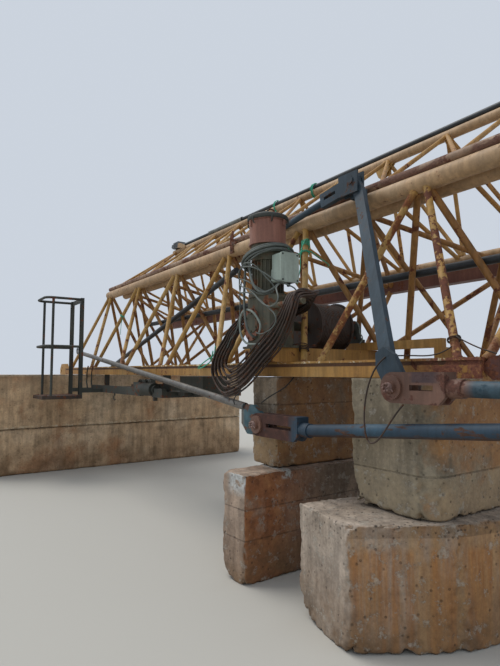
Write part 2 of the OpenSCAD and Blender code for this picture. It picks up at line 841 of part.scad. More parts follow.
module clevis_tie_bar() {
  color("rosybrown")
    union() {
      tie_fork(clevis_x, clevis_y, clevis_z, 290);
      rod_x(clevis_x + 350, clevis_x + 930, clevis_y, clevis_z, tie_d);
    }
}

// Eye plate with cut corners, with the light bar that slopes up to the jib's foot
module fork_eye() {
  color("steelblue")
    difference() {
      union() {
        translate([fork_x, fork_y + 16, fork_z])
          rotate([90, 0, 0])
            linear_extrude(32)
              polygon([[-230, -10], [-160, -78], [20, -78], [56, -40], [56, 40], [20, 60],
                       [-90, 124], [-170, 124], [-230, 80]]);
        round_bar([fork_x - 201, fork_y, fork_z + 105], [slope_x0, slope_y0, slope_z0], slope_tie_d);
      }
      pin_y(fork_x, fork_y - 80, fork_y + 80, fork_z, tie_pin_d + 0.6);
    }
}

module fork_pin() {
  color("rosybrown")
    tie_pin(fork_x, fork_y, fork_z);
}

module fork_tie_bar() {
  color("steelblue")
    union() {
      tie_fork(fork_x, fork_y, fork_z, 420);
      round_bar([fork_x + 480, fork_y, fork_z + 1], [fork_x + 2100, fork_y, fork_z + 142], tie_d);
    }
}

module upper_front_chord() {
  color("indianred")
    tube_x(upper_x0 - 30, upper_x1, 0, front_z, upper_chord_d, 5);
}

module upper_rear_chord() {
  color("goldenrod")
    tube_x(upper_x0 - 30, upper_x1, rear_y, rear_z, upper_chord_d, 5);
}

module upper_apex_chord() {
  color("goldenrod")
    tube_x(apex_x0, upper_x1, apex_y, apex_z, apex_d, 6);
}

// Node places of the upper section: they stand in a row of half bays
function ux(i) = upper_x0 + 245 + i * half_bay;

module upper_room() {
  difference() {
    union()
      children();
    rod_x(upper_x0 - bay, upper_x1 + bay, 0, front_z, upper_chord_d + 2 * gap);
    rod_x(upper_x0 - bay, upper_x1 + bay, rear_y, rear_z, upper_chord_d + 2 * gap);
    rod_x(upper_x0 - bay, upper_x1 + bay, apex_y, apex_z, apex_d + 2 * gap);
  }
}

// The zigzag bars of one side, from its lower chord to the top chord
module upper_side(y, z) {
  upper_room()
    for (i = [1 : 11]) {
      bar([ux(i), y, z], [ux(i) + 60, apex_y, apex_z], upper_web_d);
      if (i < 11)
        bar([ux(i + 1), y, z], [ux(i) + 60, apex_y, apex_z], upper_web_d);
      if (i == 1)
        bar([ux(0), y, z], [ux(1) + 60, apex_y, apex_z], upper_web_d);
    }
}

module upper_front_web() {
  color("orange")
    difference() {
      upper_side(0, front_z);
      block(upper_x0 - bay, upper_x1 + bay, apex_y, apex_y + 200, rear_z, apex_z + 200);
    }
}

module upper_rear_web() {
  color("orange")
    difference() {
      upper_side(rear_y, rear_z);
      block(upper_x0 - bay, upper_x1 + bay, apex_y - 200, apex_y + gap, rear_z, apex_z + 200);
    }
}

module upper_cross_bars() {
  color("orange")
    upper_room()
      for (i = [0 : 11])
        bar([ux(i) - 38, 0, front_z], [ux(i) - 38, rear_y, rear_z], upper_web_d);
}

module top_pipe() {
  color("darkslategray")
    rod_x(apex_x0 + 300, upper_x1, apex_y, apex_z + apex_d / 2 + top_pipe_d / 2 + gap, top_pipe_d);
}

module lamp_box() {
  x = apex_x0 + 60;
  color("lightgray")
    block(x, x + 160, apex_y - 60, apex_y + 60, apex_z + apex_d / 2 + gap, apex_z + apex_d / 2 + 90);
}

module sister_top_chord() {
  color("goldenrod")
    tube_x(tx(0) + 300, pipe_end_x, sister_y, sister_top_z, 100, 7);
}

module sister_low_chord() {
  color("orange")
    block(tx(0) - 300, pipe_end_x, sister_low_y - 45, sister_low_y + 45, support_h + gap, support_h + 100);
}

module sister_outer_chord() {
  color("saddlebrown")
    block(tx(0) - 300, pipe_end_x, outer_y - 50, outer_y + 50, outer_z - 50, outer_z + 50);
}

module sister_web() {
  zc = support_h + 50;
  color("orange")
    difference() {
      union()
        for (i = [0 : 5]) {
          a = [tx(i) + bay / 2, sister_y, sister_top_z];
          b = [tx(i) + bay, sister_low_y, zc];
          c = [tx(i) + bay, outer_y, outer_z];
          b0 = [tx(i), sister_low_y, zc];
          c0 = [tx(i), outer_y, outer_z];
          bar(a, b, sister_bar_d);
          bar(a, b0, sister_bar_d);
          bar(a, c, sister_bar_d);
          bar(a, c0, sister_bar_d);
          bar(b, c, sister_bar_d);
          bar(b0, c, sister_bar_d);
        }
      rod_x(tx(0) - bay, tx(6) + bay, sister_y, sister_top_z, 100 + 2 * gap);
      rod_x(tx(0) - bay, tx(6) + bay, 0, top_z, top_d + 2 * gap);
      block(tx(0) - bay, tx(6) + bay, sister_low_y - 45 - gap, sister_low_y + 45 + gap, support_h - 10, support_h + 100 + gap);
      block(tx(0) - bay, tx(6) + bay, outer_y - 50 - gap, outer_y + 50 + gap, outer_z - 50 - gap, outer_z + 50 + gap);
    }
}

module sister_pipe() {
  z = top_z - 515;
  y = half_w * 515 / jib_h + (web_d / 2 + 28 + gap) / cos(21);
  color("dimgray")
    rod_x(tx(0) + 900, tx(6) - 100, y, z, 56);
}

module stored_pipe() {
  color("dimgray")
    round_bar([bx(-1) - 40, half_w - 193, pipe_low_z - 9], [tx(3) + 148, 0, top_z - 201], 60);
}

module wall_lower_course() {
  color("tan")
    block(wall_x1 - wall_t, wall_x1, wall_y0, wall_y0 + wall_l, 0, course_h - 10);
}

module wall_upper_course() {
  color("burlywood")
    block(wall_x1 - wall_t, wall_x1, wall_y0, wall_y0 + wall_l, course_h - 10 + gap, support_h);
}

module mid_lower_block() {
  color("tan")
    linear_extrude(mid_course_h)
      polygon(concat(mid_low_front, [[mid_x0, stack_y1 - 10], [mid_x1 + 50, stack_y1]]));
}

module mid_upper_block() {
  color("burlywood")
    block(mid_x0, mid_x1, stack_y0, stack_y1, mid_course_h + gap, support_h);
}

module right_lower_block() {
  w = right_low_w / 2;
  l = right_low_l / 2;
  color("tan")
    translate(right_low_at)
      rotate([0, 0, right_low_turn])
        linear_extrude(course_h)
          polygon([[-w, -l], [w - right_low_cut[0], -l], [w, right_low_cut[1] - l], [w, l], [-w, l]]);
}

module right_upper_block() {
  color("burlywood")
    translate([0, 0, course_h + gap])
      linear_extrude(support_h - course_h - gap)
        polygon([[right_x0, stack_y0], [right_x1 - right_cut, stack_y0],
                 [right_x1, stack_y0 + right_cut], [right_x1, stack_y1], [right_x0, stack_y1]]);
}

// Loops of the hoist rope hung round the gearbox, its two strands and the bend below
module rope_hank() {
  color("saddlebrown")
    translate([peg_x - 410, gear_y0 - gap, peg_z - 1785])
      rotate([90, 0, 0])
        linear_extrude(55)
          polygon([[470, 1762], [462, 1660], [405, 1545], [228, 1420], [86, 1328], [-82, 1230],
                   [-246, 1165], [-330, 1152], [-410, 1154], [-480, 1190], [-540, 1250],
                   [-592, 1320], [-600, 1370], [-570, 1440], [-386, 1528], [-248, 1605],
                   [-150, 1670], [-150, 1590], [-230, 1481], [-300, 1410], [-330, 1370],
                   [-310, 1335], [-247, 1328], [-83, 1407], [87, 1528], [290, 1682], [350, 1762]]);
}

// The motor cable's turns lie askew round the motor
module cable_coil() {
  color("gray")
    translate([motor_x, motor_y, coil_z])
      rotate([0, -coil_tilt, 0])
        rotate_extrude($fn = 64)
          translate([coil_r, 0])
            circle(d = coil_d, $fn = 24);
}

// A round cord through the points of a path, eight-sided
module cord(p, d, ref) {
  n = len(p) - 1;
  t = [for (i = [0 : n]) unit(p[min(i + 1, n)] - p[max(i - 1, 0)])];
  a = [for (i = [0 : n]) unit(cross(t[i], ref))];
  b = [for (i = [0 : n]) cross(a[i], t[i])];
  pts = [for (i = [0 : n]) for (k = [0 : 7]) p[i] + d / 2 * (cos(45 * k) * a[i] + sin(45 * k) * b[i])];
  sides = [for (i = [0 : n - 1]) for (k = [0 : 7]) for (h = [0, 1])
    h == 0 ? [8 * i + k, 8 * i + (k + 1) % 8, 8 * (i + 1) + (k + 1) % 8]
           : [8 * i + k, 8 * (i + 1) + (k + 1) % 8, 8 * (i + 1) + k]];
  polyhedron(points = pts,
             faces = concat([[for (k = [7 : -1 : 0]) k]], sides, [[for (k = [0 : 7]) 8 * n + k]]));
}

module rope_lead() {
  color("saddlebrown")
    cord(way(lead_way, 18), lead_d, [0.3, 1, 0.2]);
}

module cable_tail() {
  color("gray")
    cord(way(tail_way, 13), tail_d, [1, 0.2, 0]);
}

module cable_loop() {
  color("gray")
    cord(way(loop_way, 12), tail_d, [0.1, 1, 0]);
}

module thin_cable() {
  color("black")
    cord(way(thin_way, 11), thin_d, [0, 1, 0.05]);
}

module tie_wire() {
  p = concat(way([for (k = [0 : 3]) wire_way[k]], 11),
             [for (k = [1 : 9]) way([for (m = [3 : 6]) wire_way[m]], 9)[k]]);
  color("brown")
    cord(p, wire_d, [0, 1, 0.05]);
}

top_chord();
front_bottom_chord();
rear_bottom_chord();
front_rail();
rear_rail();
front_web();
rear_web();
bottom_bracing();
front_foot_lug();
rear_foot_lug();
front_end_lug();
rear_end_lug();
top_end_lug();
winch_frame();
drum();
drum_bearing();
gearbox();
motor();
brake_cover();
terminal_box();
trolley_frame();
trolley_wheels();
trolley_sheaves();
basket_floor();
basket_rails();
top_clevis();
lying_tie_bar();
hanger_bar();
clevis_pin();
clevis_tie_bar();
fork_eye();
fork_pin();
fork_tie_bar();
upper_front_chord();
upper_rear_chord();
upper_apex_chord();
upper_front_web();
upper_rear_web();
upper_cross_bars();
top_pipe();
lamp_box();
sister_top_chord();
sister_low_chord();
sister_outer_chord();
sister_web();
sister_pipe();
stored_pipe();
wall_lower_course();
wall_upper_course();
mid_lower_block();
mid_upper_block();
right_lower_block();
right_upper_block();
rope_hank();
rope_lead();
cable_coil();
cable_tail();
cable_loop();
thin_cable();
tie_wire();
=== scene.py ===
import math
from itertools import chain

import bpy
from mathutils import Matrix, Vector, noise


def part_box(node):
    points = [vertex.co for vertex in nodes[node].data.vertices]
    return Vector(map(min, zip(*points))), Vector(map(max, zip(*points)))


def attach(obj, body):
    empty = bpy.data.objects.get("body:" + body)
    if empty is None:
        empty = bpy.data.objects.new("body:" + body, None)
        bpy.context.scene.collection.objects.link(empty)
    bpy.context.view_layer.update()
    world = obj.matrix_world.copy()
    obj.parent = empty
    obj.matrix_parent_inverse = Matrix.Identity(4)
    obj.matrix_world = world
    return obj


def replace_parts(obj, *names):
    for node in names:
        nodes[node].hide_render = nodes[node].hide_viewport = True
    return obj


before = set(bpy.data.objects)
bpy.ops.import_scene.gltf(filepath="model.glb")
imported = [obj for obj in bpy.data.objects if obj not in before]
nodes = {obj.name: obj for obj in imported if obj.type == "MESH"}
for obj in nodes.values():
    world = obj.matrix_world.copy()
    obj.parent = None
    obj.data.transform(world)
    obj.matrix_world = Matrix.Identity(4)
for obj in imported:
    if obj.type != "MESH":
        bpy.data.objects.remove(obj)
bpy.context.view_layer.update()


def linear(hexCode):
    parts = [int(hexCode[i:i + 2], 16) / 255 for i in (0, 2, 4)]
    return [c / 12.92 if c <= 0.04045 else ((c + 0.055) / 1.055) ** 2.4 for c in parts] + [1.0]


def addNode(tree, kind, settings=None, links=None):
    # a key that is a name or a number of an input sets or joins it, any other key sets the node
    node = tree.nodes.new(kind)
    for key, value in (settings or {}).items():
        if isinstance(key, int) or key in node.inputs:
            node.inputs[key].default_value = value
        else:
            setattr(node, key, value)
    for key, source in (links or {}).items():
        tree.links.new(source, node.inputs[key])
    return node


def setRamp(node, stops):
    # a stop's shade is a hex colour or one number for a grey
    ramp = node.color_ramp
    while len(ramp.elements) > 1:
        ramp.elements.remove(ramp.elements[-1])
    for i, (place, shade) in enumerate(stops.items()):
        element = ramp.elements[0] if i == 0 else ramp.elements.new(place)
        element.position = place
        element.color = linear(shade) if isinstance(shade, str) else [shade, shade, shade, 1.0]
    return node.outputs["Color"]


def startMaterial(name):
    material = bpy.data.materials.new(name)
    material.use_nodes = True
    tree = material.node_tree
    tree.nodes.clear()
    shader = addNode(tree, "ShaderNodeBsdfPrincipled", {"IOR": 1.5})
    addNode(tree, "ShaderNodeOutputMaterial", links={"Surface": shader.outputs["BSDF"]})
    return material, tree, shader


def coat(grain, shades, cover=None, edge=None, limits=(), **more):
    return {"grain": grain, "shades": shades, "cover": cover, "edge": edge, "limits": limits, **more}


def layeredMaterial(name, coats, gloss, metal=0.0, bump=0.0015):
    # Each coat has the shades of its own grain: colours hide what is below, numbers darken it. It
    # lies where its cover's grain passes the edge and inside its limits, which run along an axis of
    # the part (X, Y, Z) or of its faces (NX ...)
    material, tree, shader = startMaterial(name)
    where = addNode(tree, "ShaderNodeTexCoord")
    axes = {}
    for prefix, source in (("", "Object"), ("N", "Normal")):
        split = addNode(tree, "ShaderNodeSeparateXYZ", links={0: where.outputs[source]})
        for axis in "XYZ":
            axes[prefix + axis] = split.outputs[axis]
    grains = {}

    def grainFor(spec):
        if spec not in grains:
            scale, detail, roughness, *stretch = spec
            place = addNode(tree, "ShaderNodeMapping", {"Scale": stretch[0] if stretch else (1, 1, 1)},
                            {"Vector": where.outputs["Object"]}).outputs[0]
            if detail == "cells":
                grain = addNode(tree, "ShaderNodeTexVoronoi", {"Scale": scale, "Randomness": roughness},
                                {"Vector": place}).outputs["Distance"]
            else:
                grain = addNode(tree, "ShaderNodeTexNoise",
                                {"Scale": scale, "Detail": detail, "Roughness": roughness},
                                {"Vector": place}).outputs[0]
            grains[spec] = grain
        return grains[spec]

    colour = dull = height = None
    for layer in coats:
        cover = None
        if layer["cover"]:
            low, high = layer["edge"]
            cover = addNode(tree, "ShaderNodeMapRange", {"From Min": low, "From Max": high},
                            {"Value": grainFor(layer["cover"])}).outputs[0]
        for axis, low, high in layer["limits"]:
            side = addNode(tree, "ShaderNodeMapRange", {"From Min": low, "From Max": high},
                           {"Value": axes[axis]}).outputs[0]
            cover = side if cover is None else addNode(
                tree, "ShaderNodeMath", {"operation": "MULTIPLY"}, {0: cover, 1: side}).outputs[0]
        most = layer.get("most", 1.0)
        if cover is not None and most != 1.0:
            cover = addNode(tree, "ShaderNodeMath", {"operation": "MULTIPLY", 1: most}, {0: cover}).outputs[0]
        shade = setRamp(addNode(tree, "ShaderNodeValToRGB", links={"Fac": grainFor(layer["grain"])}),
                        layer["shades"])
        if colour is None:
            colour = shade
        else:
            hides = all(isinstance(value, str) for value in layer["shades"].values())
            mix = addNode(tree, "ShaderNodeMix", {"data_type": "RGBA", 0: most,
                                                  "blend_type": "MIX" if hides else "MULTIPLY"},
                          {6: colour, 7: shade, **({0: cover} if cover is not None else {})})
            colour = mix.outputs[2]
        if "gloss" in layer:
            mix = addNode(tree, "ShaderNodeMix", {2: gloss, 3: layer["gloss"]},
                          {0: cover, **({2: dull} if dull is not None else {})})
            dull = mix.outputs[0]
        if "relief" in layer:
            rise = addNode(tree, "ShaderNodeMath", {"operation": "MULTIPLY", 1: layer["relief"]},
                           {0: cover if cover is not None else grainFor(layer["grain"])}).outputs[0]
            height = rise if height is None else addNode(
                tree, "ShaderNodeMath", {"operation": "ADD"}, {0: height, 1: rise}).outputs[0]
    tree.links.new(colour, shader.inputs["Base Color"])
    shader.inputs["Roughness"].default_value = gloss
    shader.inputs["Metallic"].default_value = metal
    if dull is not None:
        tree.links.new(dull, shader.inputs["Roughness"])
    if height is not None:
        relief = addNode(tree, "ShaderNodeBump", {"Strength": 0.8, "Distance": bump}, {"Height": height})
        tree.links.new(relief.outputs[0], shader.inputs["Normal"])
    return material


bigGrain, patchGrain, fineGrain = (1.7, 3.0, 0.55), (9.0, 9.0, 0.68), (70.0, 5.0, 0.7)
runGrain = (7.0, 4.0, 0.6, (4.0, 4.0, 0.5))


def paintedSteel(deep, base, faded, rust=0.6, stain="8a5a34", rusty=("3d241a", "6b3c26", "8f5a38"),
                 grime=0.72, patch=patchGrain):
    # chalky paint, dirt in runs, and rust with a stained rim where the paint has come off
    return [
        coat(bigGrain, {0.3: deep, 0.5: base, 0.72: faded}),
        coat(fineGrain, {0.25: 0.80, 0.7: 1.0}, relief=0.25),
        coat(runGrain, {0.35: 1.0, 0.62: grime}),
        coat(fineGrain, {0.3: stain, 0.7: base}, patch, (rust - 0.07, rust + 0.01), most=0.6),
        coat(fineGrain, {0.3: rusty[0], 0.55: rusty[1], 0.75: rusty[2]}, patch, (rust, rust + 0.02),
             gloss=0.92, relief=-0.6),
    ]


def castConcrete(deep, base, light, extra=()):
    # cement skin with broad patches, runs of dirt, sandy grain and the holes left by air
    return [
        coat((1.3, 4, 0.6), {0.32: deep, 0.5: base, 0.68: light}),
        coat((6.5, 9, 0.7), {0.34: 0.58, 0.5: 0.95, 0.64: 1.12}, relief=0.8),
        coat((5, 5, 0.6, (3, 3, 0.3)), {0.40: 1.0, 0.66: 0.62}),
        *extra,
        coat((48, 6, 0.72), {0.3: 0.74, 0.7: 1.10}, relief=0.45),
        coat((120, 3, 0.6), {0.0: 0.5, 1.0: 0.6}, (21, "cells", 1), (0.17, 0.09), relief=-0.5),
    ]


def seamLine(z, half=0.0028):
    # the thin line that a joint of the shuttering left round a block
    return coat((30, 3, 0.6), {0.3: 0.45, 0.7: 0.9},
                limits=[("Z", z - half * 2, z - half), ("Z", z + half * 2, z + half)], relief=-0.4)


facingX = ("NX", 0.4, 0.8)
sheathRust = ("4b4a42", "55544b", "66655b")
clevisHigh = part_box("clevis_tie_bar")[1]
looks = {
    # ochre paint gone chalky, with rust breaking through in spots
    "ochre_paint": paintedSteel("a87636", "bd8c46", "cca468", 0.615, grime=0.66),
    # the bottom chords: the same, with a dark groove, a worn flange and a peeled end over the blocks
    "chord_ochre_paint": [
        *paintedSteel("a87636", "bd8c46", "cca468", 0.60, grime=0.66),
        coat((26, 6, 0.7), {0.35: "d8c49a", 0.65: "e6dcc2"}, (16, 8, 0.72), (0.54, 0.58),
             [("Z", 1.383, 1.388)], relief=-0.2),
        coat(fineGrain, {0.3: "3a2218", 0.7: "5c3826"},
             limits=[("Z", 1.363, 1.367), ("Z", 1.388, 1.385)], most=0.85),
        coat(fineGrain, {0.3: "4a2418", 0.5: "7c4630", 0.75: "9c6a44"}, (11, 9, 0.7), (0.485, 0.505),
             [("X", 1.18, 1.34)], relief=-0.5),
    ],
    # the same paint on the round chords, bleached to tan on top
    "tan_chord_paint": [
        *paintedSteel("b4936c", "c9a57c", "d6b894", 0.645, grime=0.72),
        coat(fineGrain, {0.3: "4a3028", 0.7: "7c5a44"}, (26, 9, 0.74, (0.7, 1, 1)), (0.625, 0.645),
             relief=-0.5, gloss=0.9),
        coat((9, 5, 0.6), {0.3: 0.74, 0.7: 0.95}, (3.5, 6, 0.65, (0.5, 1, 1)), (0.50, 0.64)),
    ],
    # the light section's low chord: that tan under brown runs
    "stained_tan_chord": [
        *paintedSteel("92745e", "a88a70", "bda288", 0.56, "6a4a40", ("4a3028", "6a4638", "8a6250")),
        coat(fineGrain, {0.3: "523832", 0.7: "7c584a"}, (7, 8, 0.7, (0.4, 1, 1)), (0.47, 0.54),
             most=0.85, gloss=0.9),
    ],
    # the front side's bars: bright yellow that flakes off in plates
    "peeling_ochre_paint": [
        *paintedSteel("b08440", "c49850", "d2ae70", 0.585, grime=0.66),
        coat(fineGrain, {0.3: "4a2a1e", 0.6: "70422e", 0.8: "8f5a38"}, (13, 8, 0.66), (0.475, 0.49),
             [("X", 0.93, 0.97), ("X", 1.47, 1.45)], relief=-0.5, gloss=0.9),
        coat(fineGrain, {0.3: "5a3020", 0.6: "84502c", 0.8: "a06434"}, (8, 8, 0.7), (0.47, 0.53),
             [("X", 0.31, 0.35), ("X", 0.90, 0.86)], gloss=0.9),
        coat(fineGrain, {0.3: "5a3020", 0.7: "84502c"}, (9, 8, 0.7), (0.48, 0.52), [("Z", 1.62, 1.46)],
             most=0.8),
    ],
    # bare rails, brown all over
    "rusty_rail_steel": paintedSteel("3d241a", "55321f", "6e4630", 0.50),
    # the basket's floor, brown-grey under mud
    "muddy_floor_steel": paintedSteel("2a211d", "3a2e28", "52443a", 0.56, "4a3628"),
    # red-brown primer on the parts that never got paint
    "red_brown_primer": paintedSteel("54302a", "6f4234", "855848", 0.56, "5a3226"),
    # pinkish brown fork of the bar held by the big washer, with its bar still blue-grey
    "rusty_fork_steel": [
        *paintedSteel("5c4034", "7c5a4a", "967262", 0.56, "5e3a30", ("4a3028", "5c3a2e", "7d5344")),
        coat((14, 5, 0.6), {0.35: "22343e", 0.6: "38505c"}, (9, 6, 0.6, (0.4, 1.5, 1.5)), (0.66, 0.52),
             [("X", 1.60, 1.65)]),
        coat((30, 5, 0.7), {0.3: "32242a", 0.7: "4c3838"},
             limits=[("X", 1.33, 1.35), ("X", 1.50, 1.46), ("Z", clevisHigh.z - 0.054, clevisHigh.z - 0.046)],
             most=0.9),
    ],
    # dark rusty fork with blue left on its cheek, and the blue pipe behind it
    "rusty_blue_fork": [
        *paintedSteel("1f3242", "2b4558", "456a80", 0.60, "3a2c26", ("3a2a24", "53382b", "6e4c3a")),
        coat((22, 6, 0.7), {0.3: "33211b", 0.55: "4c3028", 0.75: "6a4636"}, (9, 6, 0.6), (0.30, 0.36),
             [("X", 0.46, 0.41)], gloss=0.95, relief=-0.3),
        coat((30, 4, 0.6), {0.3: "3c2820", 0.7: "5e4232"}, (7, 7, 0.7, (0.6, 2, 2)), (0.57, 0.60),
             [("X", 0.42, 0.50)], gloss=0.9),
        coat((30, 4, 0.6), {0.3: "3c2820", 0.7: "4e382c"},
             limits=[("X", 0.42, 0.50), ("NZ", -0.55, -0.85)], most=0.8),
    ],
    # blue-grey paint of the tie bars, thin enough for rust to stain it along the edges
    "blue_grey_paint": paintedSteel("2b3a44", "384c5a", "50687a", 0.60, "4a4038",
                                    ("3a2a24", "53382b", "6e4c3a")),
    # galvanised pipe, dull and mottled, that runs into a blue eye plate
    "galvanised_pipe": [
        *paintedSteel("5c5a56", "726e68", "8a8680", 0.64, "645a50", patch=(24.0, 8.0, 0.65)),
        coat((40, 5, 0.7), {0.3: 0.62, 0.6: 1.0}, (18, 6, 0.7), (0.42, 0.58)),
        coat((12, 5, 0.6), {0.35: "324c54", 0.65: "4e6c76"}, limits=[("X", -0.135, -0.105)]),
        coat((30, 4, 0.6), {0.3: "4a3026", 0.7: "6a4a38"}, (13, 6, 0.6), (0.57, 0.60),
             [("X", -0.16, -0.12)]),
    ],
    "galvanised_sheet": paintedSteel("686c70", "7f8488", "989da0", 0.66, "6f6258"),
    # dark grey paint of the trolley and its basket, with brown coming through
    "dark_grey_paint": paintedSteel("2c2f2a", "3b3e38", "50534b", 0.585, "4c3a2c"),
    # near-black pipes
    "dark_pipe_paint": paintedSteel("23272b", "30353a", "454b50", 0.66, "3c2e26"),
    # grey-green machine paint under oil and dust
    "winch_green_paint": paintedSteel("46453a", "5a5846", "716e58", 0.575, "6e4c34",
                                      ("4a2e20", "74482e", "9c6a44"), 0.6),
    # faded red paint of the brake's cover
    "cover_red_paint": paintedSteel("84564a", "9a6856", "aa7e6c", 0.66, "7a4c3c"),
    # pale grey-green lid of the terminal box
    "box_green_paint": paintedSteel("96a498", "aab8ac", "bac8bc", 0.70, "6d7363",
                                    ("4a4c40", "6a5a48", "7a6a56"), 0.8),
    # dark soot-like grease on wire rope, brown with rust in its lay
    "wire_rope_steel": paintedSteel("362c25", "4a3c34", "62524a", 0.58, "4a3224",
                                    ("3a281e", "5c3c2a", "7a5238"), patch=(34.0, 6.0, 0.6)),
    # grey rubber sheath with dust on it
    "cable_sheath": paintedSteel("4c524d", "626862", "7d837d", 0.74, "565348", sheathRust),
    "black_cable": paintedSteel("121314", "1c1d1e", "2c2d2e", 0.80, "242424", sheathRust),
    # the gearbox's oval cover, orange-brown all over
    "oval_rust": paintedSteel("7a4a30", "94604a", "a87a60", 0.56, "7a4a34", ("5a3626", "7c4c34", "a06a48")),
    # worn steel of the pins' nuts, paler where it is handled
    "pin_steel": paintedSteel("6a5048", "8a6c62", "a88c82", 0.58, "6a4a40", ("4a3028", "6a4638", "8a6250")),
    # ochre bars in the shade of the truss: the ochre paint made darker as painted shade, and rustier than the
    # front ones
    "shaded_rusty_ochre_paint": paintedSteel("8c5f30", "a8783e", "b98f56", 0.565, "7a4c2c", grime=0.6),
    # grey sheet wrapped round a pipe, torn
    "grey_sleeve": paintedSteel("6a6c68", "80827c", "96978f", 0.72, "6a6860", sheathRust),
    # pale grey hose
    "pale_hose": paintedSteel("7c857e", "929c94", "a8b0a8", 0.78, "7a7a6e", sheathRust),
    # green twine
    "green_twine": paintedSteel("1c9272", "2cb892", "50d0ac", 0.85, "1c6c56", sheathRust),
}
grimeFoot = coat((9, 6, 0.7), {0.3: "5e4630", 0.7: "8a6c4c"}, (5, 6, 0.65), (0.30, 0.62),
                 [("Z", 0.42, 0.0)])
chipSkin = coat((60, 5, 0.7), {0.3: "8f887c", 0.7: "bab4a8"}, (15, 9, 0.75), (0.56, 0.60), most=0.5,
                relief=-0.3)
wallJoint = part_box("wall_lower_course")[1].z
stones = {
    # yellow-tan courses of the wall, with orange patches where rust has run
    "wall_concrete": castConcrete("bd9c78", "cdae8a", "dcc2a2", [
        coat((9, 5, 0.6), {0.3: "8a5634", 0.7: "b07c52"}, (2.2, 6, 0.62, (1, 1, 0.8)), (0.52, 0.66),
             most=0.7),
        coat((40, 6, 0.7), {0.4: "cdbfa6", 0.6: "e0d4be"}, (22, 7, 0.7, (1, 1, 2)), (0.40, 0.46),
             [("Z", 1.272, 1.290), ("NZ", 0.92, 0.6)]),
        coat((40, 6, 0.7), {0.4: "c8b99c", 0.6: "dccfb6"}, (26, 7, 0.7, (1, 1, 2)), (0.50, 0.55),
             [("Z", wallJoint, wallJoint + 0.01), ("Z", wallJoint + 0.04, wallJoint + 0.015)]),
        grimeFoot]),
    # the middle stack's upper block: grey with a tan foot, orange-brown on its side, and that side darkened
    # further as painted shade
    "middle_concrete": castConcrete("867664", "a08e78", "b6a48e", [
        coat((8, 7, 0.7), {0.3: "8e7252", 0.7: "b0946e"}, (6, 7, 0.65), (0.30, 0.46),
             [("Z", 0.98, 0.90)], most=0.85),
        coat((8, 7, 0.7), {0.3: "80583a", 0.7: "b08050"}, (4.2, 7, 0.65), (0.32, 0.50), [facingX],
             most=0.85),
        # painted shade: the side that faces X is darkened
        coat((5, 5, 0.6), {0.3: 0.80, 0.7: 1.0}, limits=[facingX]),
        seamLine(1.105), seamLine(0.905), chipSkin]),
    # the lower one: pinkish tan front, side stained red-brown and greyer at the back, white paint
    # slapped on beside its corner
    "middle_low_concrete": castConcrete("947c6a", "b09884", "c4ae9a", [
        coat((11, 8, 0.72), {0.3: "66381e", 0.5: "9a6038", 0.72: "ba8050"}, (5, 7, 0.65), (0.26, 0.44),
             [facingX, ("Y", -0.10, -0.62)], most=0.95, relief=0.3),
        coat((6, 5, 0.6), {0.3: "5a4c3e", 0.7: "7c6a58"}, (4, 6, 0.6), (0.40, 0.56),
             [facingX, ("Y", -0.45, -0.10)], most=0.8),
        coat((20, 6, 0.7), {0.35: "a8a8a4", 0.65: "d2d2ce"}, (16, 8, 0.7), (0.40, 0.425),
             [("Z", 0.53, 0.60), ("NY", -0.35, -0.6), ("X", -0.02, 0.04)], gloss=0.7),
        coat((20, 6, 0.7), {0.35: "a8a8a4", 0.65: "d2d2ce"}, (22, 8, 0.7), (0.47, 0.50),
             [("Z", 0.615, 0.635), ("Y", -0.56, -0.53), ("Y", -0.45, -0.48)], gloss=0.7),
        seamLine(0.46), seamLine(0.27),
        grimeFoot, chipSkin]),
    # the right stack's upper block: grey-tan with a line of shuttering, browner on its side
    "right_concrete": castConcrete("80745f", "998c76", "b0a48e", [
        coat((7, 7, 0.68), {0.3: "805434", 0.7: "b08250"}, (3.4, 7, 0.65), (0.34, 0.50), [facingX],
             most=0.85),
        coat((7, 7, 0.68), {0.3: "8a7c66", 0.7: "a8987c"}, (5, 7, 0.65), (0.40, 0.50),
             [("Z", 0.83, 0.80)], most=0.7),
        coat((40, 5, 0.7), {0.0: 0.35, 1.0: 0.5}, (30, "cells", 1), (0.24, 0.17),
             [("Z", 0.82, 0.70), ("X", 1.02, 0.86)], relief=-0.9),
        seamLine(0.812), chipSkin]),
    # and the lowest: paler, with tan and orange runs down its side and pits below its top edge
    "right_low_concrete": castConcrete("948474", "ad9c8a", "c2b2a2", [
        coat((5, 6, 0.65, (3, 3, 0.3)), {0.35: "8c6038", 0.65: "bc9464"}, (3, 7, 0.65, (2, 2, 0.5)),
             (0.28, 0.50), [("NX", 0.3, 0.8), ("Y", -1.66, -1.20)], most=0.8),
        coat((9, 6, 0.65, (3, 3, 0.25)), {0.35: "8e5628", 0.65: "bc8448"}, (4, 6, 0.6, (4, 4, 0.2)),
             (0.44, 0.58), [("NX", 0.3, 0.8), ("Z", 0.50, 0.46), ("Y", -1.72, -1.35)], most=0.7),
        coat((6, 6, 0.6), {0.3: 0.62, 0.7: 0.85}, limits=[("NX", 0.3, 0.8), ("Z", 0.535, 0.538)]),
        coat((50, 6, 0.75), {0.35: "a8a29a", 0.65: "d4cec4"}, (24, 9, 0.75), (0.47, 0.51),
             [("X", 0.93, 0.97), ("Y", -1.60, -1.68)], relief=-0.2),
        coat((40, 5, 0.7), {0.0: 0.35, 1.0: 0.5}, (34, "cells", 1), (0.22, 0.15), [("Z", 0.44, 0.58)],
             relief=-0.9),
        grimeFoot, chipSkin]),
}
paint = {name: layeredMaterial(name, layers, 0.5 if "pipe" in name or "box" in name else 0.62,
                               0.3 if "galvanised" in name or "wire" in name else 0.0)
         for name, layers in looks.items()}
paint.update((name, layeredMaterial(name, layers, gloss=0.93, bump=0.010)) for name, layers in stones.items())
print("stage: materials", len(paint))

